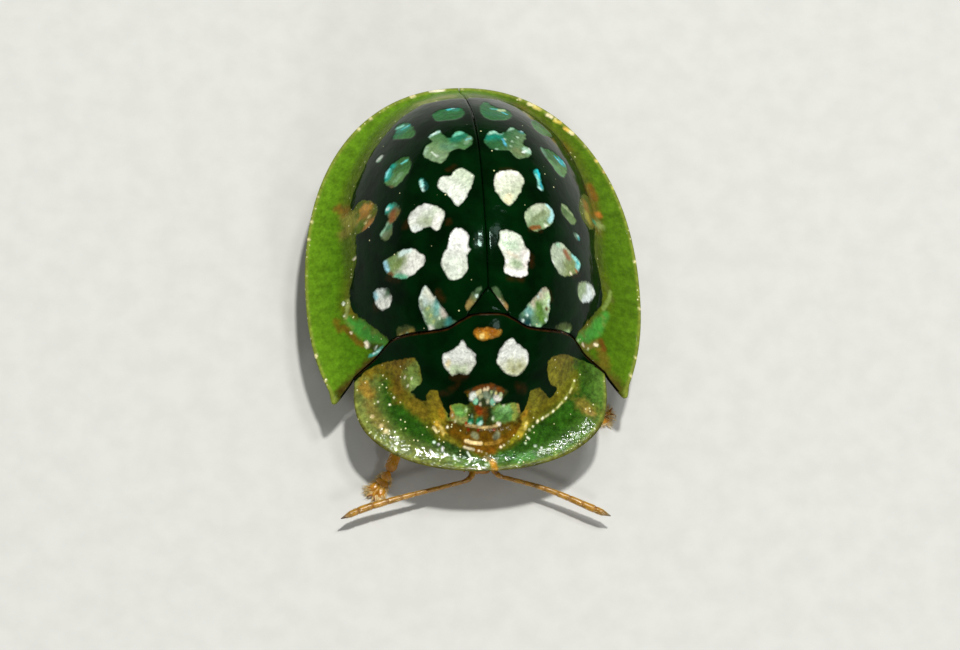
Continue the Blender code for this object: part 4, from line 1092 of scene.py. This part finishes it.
def head_shield(finishes):
    """The pronotum, clear in front, with its black saddle behind."""

    def relief(x, y, rim):
        found = measure_pronotum(x, y)
        gap = front_gap(x, y)
        sunk = -0.014 * step(found["silver"], -0.02, 0.04) - 0.010 * step(found["crescent"], -0.02, 0.03)
        waves = 0.006 * lumps(x, y, 3.0, 15.0)
        waves += 0.004 * lumps(x, y, 7.0, 17.0) * step(-found["black"], 0.0, 0.1)
        rise = TURNED_BLEND * np.log1p(np.exp((TURNED_BAND - gap) / TURNED_BLEND))
        return sunk + waves + TURNED_SLOPE * rise * step(-y, 2.0, 2.5)

    outline = pronotum_outline(PRONOTUM_SPACING)
    points, faces, marks = plate(outline, PRONOTUM_THICKNESS, relief, PRONOTUM_SPACING)
    half = len(points) // 2
    x, y = points[:half, 0], points[:half, 1]
    edge = marks["edge"][:half]
    found = measure_pronotum(x, y)
    gap = front_gap(x, y)
    # The clear horn runs from paler at its free edge to darker inward. The darkening is painted shade of the
    # shadowed ground seen through it. It is paler again near the front edge toward the right side (-x).
    tint = blend(np.tile(colour("#5c8030"), (half, 1)), "#2c5810", step(gap, 0.02, 0.40))
    tint = blend(tint, "#8a9048", 0.7 * step(-x, 0.2, 0.9) * (1.0 - step(gap, 0.15, 0.45)))
    tint = blend(tint, "#6b6416", step(found["amber"], -0.10, 0.08))
    turn, away = np.arctan2(y - FAN_Y, x), np.hypot(x, y - FAN_Y)
    streak = lumps(turn * 9.0, away * 1.2, 1.0, 61.0) + 0.6 * lumps(x, y, 12.0, 63.0)
    tint[:, :3] *= (1.0 + 0.30 * streak)[:, None]
    tint = blend(tint, "#8a9040", 0.6 * (1.0 - step(gap, 0.03, 0.07)))
    tint = blend(tint, "#54501c", 0.8 * (1.0 - step(gap, 0.0, 0.03)))
    silver_tint = blend(np.tile(colour("#f4f7ee"), (half, 1)), "#dfe2c4", 0.7 * step(-y, 1.70, 1.88))
    silver_tint = np.where((found["gold"] > -0.06)[:, None], np.array(colour("#a87a28")), silver_tint)
    silver_tint = np.where((y < -2.0)[:, None], np.array(colour("#2c3414")), silver_tint)
    front = y < np.interp(np.abs(x), [0.0, 1.9, 2.03], [-1.6, -1.62, -1.56])
    glassy = step(-found["amber"], -0.05, 0.1)
    # Painted glints, thicker in clusters, beside the amber and toward the right side
    clusters = step(lumps(x, y, 2.2, 71.0), -0.1, 0.3)
    by_amber = np.exp(-(((found["amber"] + 0.04) / 0.06) ** 2))
    painted_glints = 0.07 + 0.16 * clusters + 0.20 * by_amber + 0.16 * step(-x, 1.2, 1.6)
    painted_glints *= step(-found["black"], 0.0, 0.1)
    gloss = np.full(half, 0.10)
    for microns, *lines in POLISHED:
        for line in lines:
            far = distance_to(x, y, points_of(line)) / (microns / 1000)
            gloss = np.maximum(gloss, 1.0 - 0.90 * step(far, 0.4, 1.5))
    values = {
        "disc": found["black"],
        "spot": np.maximum.reduce([found["silver"], found["gold"], found["crescent"]]),
        "spot_tint": paint(silver_tint, x, y, CRESCENT_STROKES + SILVER_STROKES),
        "ground_tint": paint(tint, x, y, PRONOTUM_STROKES + HEAD_STROKES),
        "clear": 1.0 - 0.14 * glassy * step(gap, 0.02, 0.08),
        "fringe": np.maximum(found["brown"], -1.0),
        "painted_glints": painted_glints,
        "gloss": gloss,
        "seam": np.where(front, -1.0, SEAM - edge),
    }
    marks = {name: np.concatenate([value, value]) for name, value in values.items()}
    show("head_shield", (points, faces, marks), finishes["pronotum"], ("pronotum",))


def scutellum(finishes):
    """The small black triangle between the wing cases' roots."""

    def relief(x, y, rim):
        return 0.015 * step(rim, 0.0, 0.12)

    points, faces, _ = plate(scutellum_outline(), SHELL_THICKNESS, relief)
    show("scutellum_plate", (points, faces, {}), finishes["scutellum"], ("scutellum",))


# Body and head


def trunk(finishes):
    """Thorax and abdomen under the shield, with rings and hip sockets."""
    y_line = np.linspace(-2.02, 2.80, 60)
    reach = np.where(y_line > DISC["middle"], DISC["rear"], DISC["front"]) * TRUNK_SHARE
    along = np.minimum(np.abs(y_line - DISC["middle"]) / reach, 1.0)
    power = DISC["power"]
    half = np.maximum(DISC["half_width"] * TRUNK_SHARE * (1.0 - along**power) ** (1 / power), 0.25)
    right = np.stack([half, y_line], 1)
    ring = np.vstack([right, right[::-1] * [-1, 1], right[:1]])
    outline = resample(ring, 0.05)[:-1]
    flat, faces = tile(outline, 0.05)
    x, y = flat[:, 0], flat[:, 1]
    count = len(x)
    edge = np.maximum(depth_inside(x, y, outline), 0.0)
    edge[: len(outline)] = 0.0
    bent = y + 0.06 * x**2
    groove = np.exp(-((np.min(np.abs(bent[:, None] - RING_LINES), axis=1) / 0.04) ** 2))
    middle = np.exp(-((x / 0.04) ** 2)) * (y < 0.4)
    hips = np.zeros(count)
    for path in LEG_PATHS.values():
        hips = np.maximum(hips, np.exp(-((np.hypot(x - path[0][0], y - path[0][1]) / 0.22) ** 2)))
    low = BELLY_HEIGHT + 0.10 * (x / 1.66) ** 2 + 0.04 * groove + 0.03 * middle + 0.08 * hips
    low = low + 0.25 * (1.0 - np.sqrt(1.0 - (1.0 - np.clip(edge / 0.25, 0, 1)) ** 2))
    top = np.maximum(shield_height(x, y) - TRUNK_ROOM, low + 0.02)
    sheets = faces + [tuple(i + count for i in reversed(f)) for f in faces] + walls(outline, count)
    marks = {"groove": np.tile(np.maximum(groove, middle) - 0.4, 2), "flank": np.tile(0.3 - edge, 2)}
    part = (np.vstack([np.stack([x, y, top], 1), np.stack([x, y, low], 1)]), sheets, marks)
    show("trunk_skin", part, finishes["underside"], ("prothorax", "hind_thorax", "abdomen"))


def ball(centre, radii, around=48, rings=32):
    """A closed ball as latitude rings."""
    turn = 2 * math.pi * np.arange(around) / around
    tilt = np.linspace(0.0, math.pi, rings + 1)[1:-1]
    place = np.stack(
        [
            (np.sin(tilt)[:, None] * np.cos(turn)[None]).ravel(),
            (np.sin(tilt)[:, None] * np.sin(turn)[None]).ravel(),
            np.repeat(np.cos(tilt), around),
        ],
        1,
    )
    place = np.vstack([place, [[0, 0, 1], [0, 0, -1]]])
    faces = []
    for row in range(len(tilt) - 1):
        for i in range(around):
            j = (i + 1) % around
            a, b = row * around, (row + 1) * around
            faces.append((a + i, b + i, b + j, a + j))
    top, low, last = len(place) - 2, len(place) - 1, (len(tilt) - 1) * around
    for i in range(around):
        j = (i + 1) % around
        faces.append((top, i, j))
        faces.append((low, last + j, last + i))
    return np.array(centre) + place * radii, faces


# Root and tip of the outer and inner palp
PALPS = (((0.20, -2.68, 0.27), (0.24, -2.80, 0.18)), ((0.10, -2.64, 0.24), (0.12, -2.76, 0.15)))


def head(finishes):
    """Head capsule with brow grooves, eye and feeler sockets, upper lip, jaws and palps."""
    points, faces = ball(HEAD_CENTRE, HEAD_RADII, 112, 72)
    x, y, z = points.T
    roof = shield_height(x, y) - HEAD_ROOM
    z = np.where(z > HEAD_CENTRE[2], np.minimum(z, np.maximum(roof, HEAD_CENTRE[2])), z)
    points[:, 2] = z
    ahead = np.clip(-(y - HEAD_CENTRE[1]) / HEAD_RADII[1], 0, 1)
    brow = np.exp(-(((np.abs(x) - (0.06 + 0.34 * (1 - ahead))) / 0.028) ** 2)) * step(ahead, 0.1, 0.4)
    middle = np.exp(-((x / 0.018) ** 2)) * step(1 - ahead, 0.1, 0.5)
    lip_line = np.exp(-(((z - 0.40) / 0.022) ** 2)) * step(ahead, 0.6, 0.9)
    groove = np.maximum.reduce([brow, middle, lip_line])
    socket = np.zeros(len(points))
    for sign in (1, -1):
        gap = (points - [sign * EYE_CENTRE[0], *EYE_CENTRE[1:]]) / (np.array(EYE_RADII) + 0.03)
        socket = np.maximum(socket, np.exp(-(((np.linalg.norm(gap, axis=1) - 1.0) / 0.12) ** 2)))
    inward = np.array(HEAD_CENTRE) - points
    inward /= np.linalg.norm(inward, axis=1)[:, None]
    points = points + inward * (0.022 * groove - 0.02 * socket)[:, None]
    marks = {"groove": groove - 0.45, "pale": np.exp(-((x / 0.2) ** 2)) * step(ahead, 0.75, 0.95) - 0.5}
    parts = [(points, faces, marks)]
    for side, sign in (("left", 1), ("right", -1)):
        start, after = (np.array(p) for p in FEELER_PATHS[side][:2])
        way = unit(after - start)
        across = unit(np.cross(way, (0, 0, 1)))
        over = np.cross(across, way)
        turn = np.linspace(0, 2 * math.pi, 27)[:26, None]
        ring = start + way * 0.02 + 0.066 * (across * np.cos(turn) + over * np.sin(turn))
        parts.append(tube(ring, 0.018, sides=8, up=way))
        jaw = smooth([(sign * 0.17, -2.76, 0.33), (sign * 0.13, -2.84, 0.27), (sign * 0.02, -2.86, 0.24)], 6)
        parts.append(tube(jaw, np.linspace(0.05, 0.008, len(jaw)), sides=10, up=(0, 1, 0)))
        for root, tip in PALPS:
            start, end = np.array(root) * [sign, 1, 1], np.array(tip) * [sign, 1, 1]
            for k in range(3):
                a, b = start + (end - start) * (k / 3), start + (end - start) * ((k + 1.05) / 3)
                parts.append(pod(a, b, 0.024 - 0.003 * k, sides=10, rings=8, up=(0, 1, 0)))
    parts.append(pod((0.0, -2.78, 0.37), (0.0, -2.88, 0.29), 0.13, 0.03, sides=16, rings=10, up=(0, 1, 0)))
    for part in parts[1:]:
        part[2].pop("along", None)
    show("head_skin", merge(parts), finishes["head"], ("head",))
    for side, sign in (("left", 1), ("right", -1)):
        points, faces = ball((sign * EYE_CENTRE[0], *EYE_CENTRE[1:]), EYE_RADII, 48, 32)
        show(f"eye_lens_{side}", (points, faces, {}), finishes["eye"], (f"eye_{side}",))


# Feelers and legs

FEELER_JOINTS = (0.00, 0.085, 0.145, 0.225, 0.305, 0.385, 0.47, 0.565, 0.665, 0.77, 0.875, 1.00)
FEELER_WIDTH = ((0.0, 0.04, 0.085, 0.13, 0.30, 0.50, 0.68, 0.85, 0.93, 1.0),
                (0.042, 0.056, 0.048, 0.034, 0.034, 0.042, 0.053, 0.060, 0.052, 0.008))


def feelers(finishes):
    """Eleven joints each: a swollen first one, slender ones, and a thicker club with a dusky point."""
    for side, path in FEELER_PATHS.items():
        line = resample(smooth(path, 12), 0.008)
        share = np.linspace(0, 1, len(line))
        pinch = np.zeros(len(line))
        for joint in FEELER_JOINTS[1:-1]:
            pinch = np.maximum(pinch, np.exp(-(((share - joint) / 0.0075) ** 2)))
        start = np.sqrt(np.clip(share / 0.02, 0.02, 1))
        radius = np.interp(share, *FEELER_WIDTH) * (1 - 0.13 * pinch) * start
        points, faces, marks = tube(line, radius, sides=18)
        along = marks.pop("along")
        marks["joint"] = np.concatenate([np.repeat(0.9 * pinch, 18), [0, 0]]) - 0.5
        marks["tip"] = 12.0 * (along - 0.955)
        show(f"feeler_{side}", (points, faces, marks), finishes["feeler"], (f"antenna_{side}",))


def unit(way):
    """The same way with length one."""
    way = np.array(way, float)
    return way / np.linalg.norm(way)


def foot_frame(ankle, claw):
    """A placing function for the foot: share of its length, sideways and up."""
    run = np.array([claw[0] - ankle[0], claw[1] - ankle[1], 0.0])
    length = np.linalg.norm(run)
    ahead = run / length
    across = np.cross(ahead, (0, 0, 1))
    base = np.array([ankle[0], ankle[1], 0.0])

    def at(share, side=0.0, up=0.0):
        return base + ahead * (share * length) + across * side + np.array([0, 0, up])

    return at, ahead, across


def foot(ankle, claw):
    """Tarsus: two short pads, a two-lobed third pad and a slender claw joint, and the claws apart."""
    at, ahead, _ = foot_frame(ankle, claw)
    parts = [
        pod(at(0.02, 0, 0.20), at(0.36, 0, 0.115), 0.082, 0.062, swell=0.6),
        pod(at(0.24, 0, 0.130), at(0.54, 0, 0.095), 0.112, 0.058, swell=0.6),
    ]
    for sign in (1, -1):
        start, end = at(0.40, sign * 0.035, 0.085), at(0.90, sign * 0.085, 0.052)
        parts.append(pod(start, end, 0.078, 0.050, swell=0.58))
    parts.append(pod(at(0.50, 0, 0.11), at(0.96, 0, 0.08), 0.034, 0.032, swell=0.8))
    claws = []
    for sign in (1, -1):
        bends = ((0.93, 0.012, 0.08), (0.99, 0.045, 0.085), (1.05, 0.07, 0.045), (1.05, 0.08, 0.006))
        hook = smooth([at(share, sign * side, up) for share, side, up in bends], 5)
        width = np.linspace(0.019, 0.004, len(hook))
        points, faces, marks = tube(hook, width, sides=9, up=ahead + [0, 0, 0.3])
        claws.append((points, faces, {"tip": marks["along"] - 0.6}))
    return parts, claws


# Share of the shin's length, and half width there
SHIN_WIDTH = ((0, 0.05, 0.14, 0.4, 0.75, 0.93, 1.0), (0.02, 0.056, 0.066, 0.074, 0.090, 0.098, 0.05))


def leg(pair, side, path, finishes):
    """One leg's skin from hip to claw joint, and its two claws."""
    hip, knee, ankle, claw = (np.array(p) for p in path)
    thigh, shin = unit(knee - hip), unit(ankle - knee)
    parts = [
        pod(hip + [0, 0, 0.22], hip - thigh * 0.02 + [0, 0, -0.05], 0.19, 0.17, blunt=0.6, up=(0, 1, 0)),
        pod(hip - thigh * 0.03, hip + thigh * 0.17, 0.10, 0.09, blunt=0.6),
        pod(hip + thigh * 0.08, knee + thigh * 0.02, 0.165, 0.135, swell=0.42, blunt=0.62, rings=22),
    ]
    share = np.linspace(0, 1, 26)
    line = knee - shin * 0.03 + (ankle - knee + shin * 0.06) * share[:, None]
    width = np.interp(share, *SHIN_WIDTH)
    parts.append(tube(line, width, width * 0.85, 16))
    ankle_marks = np.concatenate([np.repeat(0.9 - 6.0 * np.minimum(share, 1 - share), 16), [0, 0]])
    for k, part in enumerate(parts):
        along = part[2].pop("along")
        part[2]["joint"] = np.maximum(0.5 - 6.0 * along, 6.0 * along - 5.5) if k < 3 else ankle_marks - 0.5
    pads, claws = foot(ankle, claw)
    for part in pads:
        part[2]["joint"] = 0.25 - 5.0 * part[2].pop("along")
    name = f"leg_{pair}_{side}"
    nodes = [f"{name}_{length}" for length in ("femur", "tibia", "tarsus")]
    show(name + "_skin", merge(parts + pads), finishes["limb"], nodes)
    show(f"claws_{pair}_{side}", merge(claws), finishes["claw"])


def hair(root, way, length, radius, bend):
    """One tapering three-sided bristle."""
    way = unit(way)
    droop = np.array([0, 0, -bend * length])
    path = [root + way * (length * t) + droop * t * t for t in (0.0, 0.35, 0.7, 1.0)]
    up = (0.0, 0.0, 1.0) if abs(way[2]) < 0.8 else (0.0, 1.0, 0.0)
    points, faces, _ = tube(path, [radius, radius * 0.8, radius * 0.5, radius * 0.12], sides=3, up=up)
    return points, faces, {}


def show_coat(name, tufts, material):
    """Shows the tufts, each a small patch of the map at its root's place, laid out by limb and by share
    along it.
    """
    obj = show(name, merge([t[0] for t in tufts]), material)
    layer = obj.data.uv_layers.new(name="OFBake")
    counts = [len(t[0][0]) for t in tufts]
    owner = np.repeat(np.arange(len(tufts)), counts)
    roots = np.array([t[1] for t in tufts])
    within = np.concatenate([np.linspace(0, 0.003, c) for c in counts])
    loops = np.zeros(len(obj.data.loops), int)
    obj.data.loops.foreach_get("vertex_index", loops)
    uv = roots[owner[loops]] + np.stack([within[loops], 0.003 - within[loops]], 1)
    layer.data.foreach_set("uv", uv.astype(np.float32).ravel())


# How many bristles each foot, shin and feeler has
FOOT_BRISTLES = 420
SHIN_BRISTLES = 90
FEELER_BRISTLES = 560


def bristles(finishes):
    """Brushes on and beside the foot pads, spines along the shins, and short down on the feelers."""
    tufts = []
    for number, path in enumerate(LEG_PATHS.values()):
        _, knee, ankle, claw = (np.array(p) for p in path)
        at, ahead, across = foot_frame(ankle, claw)
        for _ in range(FOOT_BRISTLES):
            share, edge = rng.uniform(0.08, 0.92), rng.uniform(-1, 1)
            wide = np.interp(share, [0.05, 0.3, 0.5, 0.7, 0.92], [0.07, 0.10, 0.12, 0.155, 0.10])
            height = np.interp(share, [0.1, 0.3, 0.8], [0.19, 0.12, 0.075]) * (1 - 0.4 * edge * edge)
            root = at(share, wide * edge * 0.95, height + rng.uniform(0.0, 0.02))
            way = across * edge * 1.2 + ahead * rng.uniform(0.3, 1.0)
            way = way + np.array([0, 0, rng.uniform(-0.3, 0.4)])
            made = hair(root, way, rng.uniform(0.06, 0.10) + 0.05 * (share > 0.7), 0.0075, 0.35)
            made[0][:, 2] = np.maximum(made[0][:, 2], 0.004)
            tufts.append((made, ((number + share) / 7.0, 0.5 + 0.4 * edge)))
        shin = unit(ankle - knee)
        side_way = unit(np.cross(shin, (0, 0, 1)))
        for _ in range(SHIN_BRISTLES):
            share, turn = rng.uniform(0.1, 0.98), rng.uniform(0, 2 * math.pi)
            out = side_way * math.cos(turn) + np.array([0, 0, 1.0]) * math.sin(turn)
            wide = np.interp(share, [0, 0.4, 0.9], [0.05, 0.06, 0.08])
            root = knee + (ankle - knee) * share + out * wide
            made = hair(root, out * 0.7 + shin, rng.uniform(0.05, 0.08), 0.006, 0.0)
            tufts.append((made, ((number + share) / 7.0, 0.05 + 0.03 * turn / 6.3)))
    show_coat("foot_bristles", tufts, finishes["bristle"])
    tufts = []
    for number, path in enumerate(FEELER_PATHS.values()):
        line = resample(smooth(path, 12), 0.008)
        for _ in range(FEELER_BRISTLES):
            share, turn = rng.uniform(0.04, 0.95) ** 0.75, rng.uniform(0, 2 * math.pi)
            at = min(int(share * (len(line) - 1)), len(line) - 2)
            ahead = unit(line[at + 1] - line[at])
            side_way = unit(np.cross(ahead, (0, 0, 1)))
            out = side_way * math.cos(turn) + np.cross(side_way, ahead) * math.sin(turn)
            root = line[at] + out * (0.94 * np.interp(share, *FEELER_WIDTH))
            made = hair(root, out * 0.5 + ahead, rng.uniform(0.018, 0.032), 0.0026, 0.0)
            tufts.append((made, ((number + share) / 3.0, turn / 6.5)))
    show_coat("feeler_down", tufts, finishes["bristle"])


# Floor, lights and camera

# Lamps: name, the way toward it, distance, width, watts, colour
LAMPS = (
    ("key", (0.058, 0.165, 0.985), 120.0, 9.0, 0.106, "#fffefa"),
    ("side", (0.24, 0.24, 0.94), 120.0, 20.0, 0.022, "#ffffff"),
    ("front", (0.25, -0.86, 0.62), 120.0, 16.0, 0.018, "#ffffff"),
)
AIM_HEIGHT = 1.6
FLOOR_HALF_WIDTH = 0.6
SKY_STRENGTH = 0.32


def studio(finishes):
    """A plain pale floor, an even pale sky and three round lamps."""
    floor_mesh = bpy.data.meshes.new("floor")
    half = FLOOR_HALF_WIDTH
    corners = [(-half, -half, 0), (half, -half, 0), (half, half, 0), (-half, half, 0)]
    floor_mesh.from_pydata(corners, [], [(0, 1, 2, 3)])
    floor = bpy.data.objects.new("floor", floor_mesh)
    bpy.context.scene.collection.objects.link(floor)
    floor_mesh.materials.append(finishes["card"])
    world = bpy.data.worlds.new("studio")
    bpy.context.scene.world = world
    world.use_nodes = True
    back = world.node_tree.nodes["Background"]
    back.inputs["Color"].default_value = colour("#f0f2f0")
    back.inputs["Strength"].default_value = SKY_STRENGTH
    for name, way, distance, size, power, tint in LAMPS:
        light = bpy.data.lights.new(name, "AREA")
        light.shape = "DISK"
        light.size = size * MM
        light.energy = power
        light.color = colour(tint)[:3]
        lamp = bpy.data.objects.new(name, light)
        aim = Vector((0.0, FRAME_SHIFT_Y, AIM_HEIGHT)) * MM
        back_way = Vector(way).normalized()
        lamp.location = aim + back_way * (distance * MM)
        lamp.rotation_mode = "QUATERNION"
        lamp.rotation_quaternion = back_way.to_track_quat("Z", "Y")
        bpy.context.scene.collection.objects.link(lamp)


# Camera angles in degrees, distance and scale in millimetres, and where the shield's middle shows
CAMERA_AZIMUTH = -16.0
CAMERA_ELEVATION = 66.0
CAMERA_ROLL = 13.5
CAMERA_DISTANCE = 160.0
PIXELS_PER_MM = 61.65
SENSOR_WIDTH = 36.0
FRAME_WIDTH, FRAME_HEIGHT = 960, 650
CENTRE_PIXEL = (466.8, 316.4)


def camera():
    """The photo's viewing angle and framing."""
    turn, rise, roll = (math.radians(v) for v in (CAMERA_AZIMUTH, CAMERA_ELEVATION, CAMERA_ROLL))
    back = Vector((math.sin(turn) * math.cos(rise), -math.cos(turn) * math.cos(rise), math.sin(rise)))
    level = Vector((math.cos(turn), math.sin(turn), 0.0))
    above = back.cross(level)
    right = level * math.cos(roll) + above * math.sin(roll)
    up = above * math.cos(roll) - level * math.sin(roll)
    data = bpy.data.cameras.new("camera")
    data.sensor_width = SENSOR_WIDTH
    data.lens = PIXELS_PER_MM * CAMERA_DISTANCE * SENSOR_WIDTH / FRAME_WIDTH
    data.clip_start = 0.005
    data.clip_end = 5.0
    aside = (FRAME_WIDTH / 2 - CENTRE_PIXEL[0]) / PIXELS_PER_MM
    lower = (CENTRE_PIXEL[1] - FRAME_HEIGHT / 2) / PIXELS_PER_MM
    aim = right * aside + up * lower + Vector((0.0, FRAME_SHIFT_Y, 0.0))
    obj = bpy.data.objects.new("camera", data)
    obj.location = (aim + back * CAMERA_DISTANCE) * MM
    obj.rotation_mode = "QUATERNION"
    obj.rotation_quaternion = Matrix((right, up, back)).transposed().to_quaternion()
    bpy.context.scene.collection.objects.link(obj)
    bpy.context.scene.camera = obj


def main():
    """Makes every piece, then the floor, the lights and the camera."""
    finishes = make_finishes()
    wing_case("left", finishes)
    wing_case("right", finishes)
    head_shield(finishes)
    scutellum(finishes)
    trunk(finishes)
    head(finishes)
    feelers(finishes)
    for (pair, side), path in LEG_PATHS.items():
        leg(pair, side, path, finishes)
    bristles(finishes)
    studio(finishes)
    camera()
    bpy.context.scene.view_settings.view_transform = "Standard"


main()
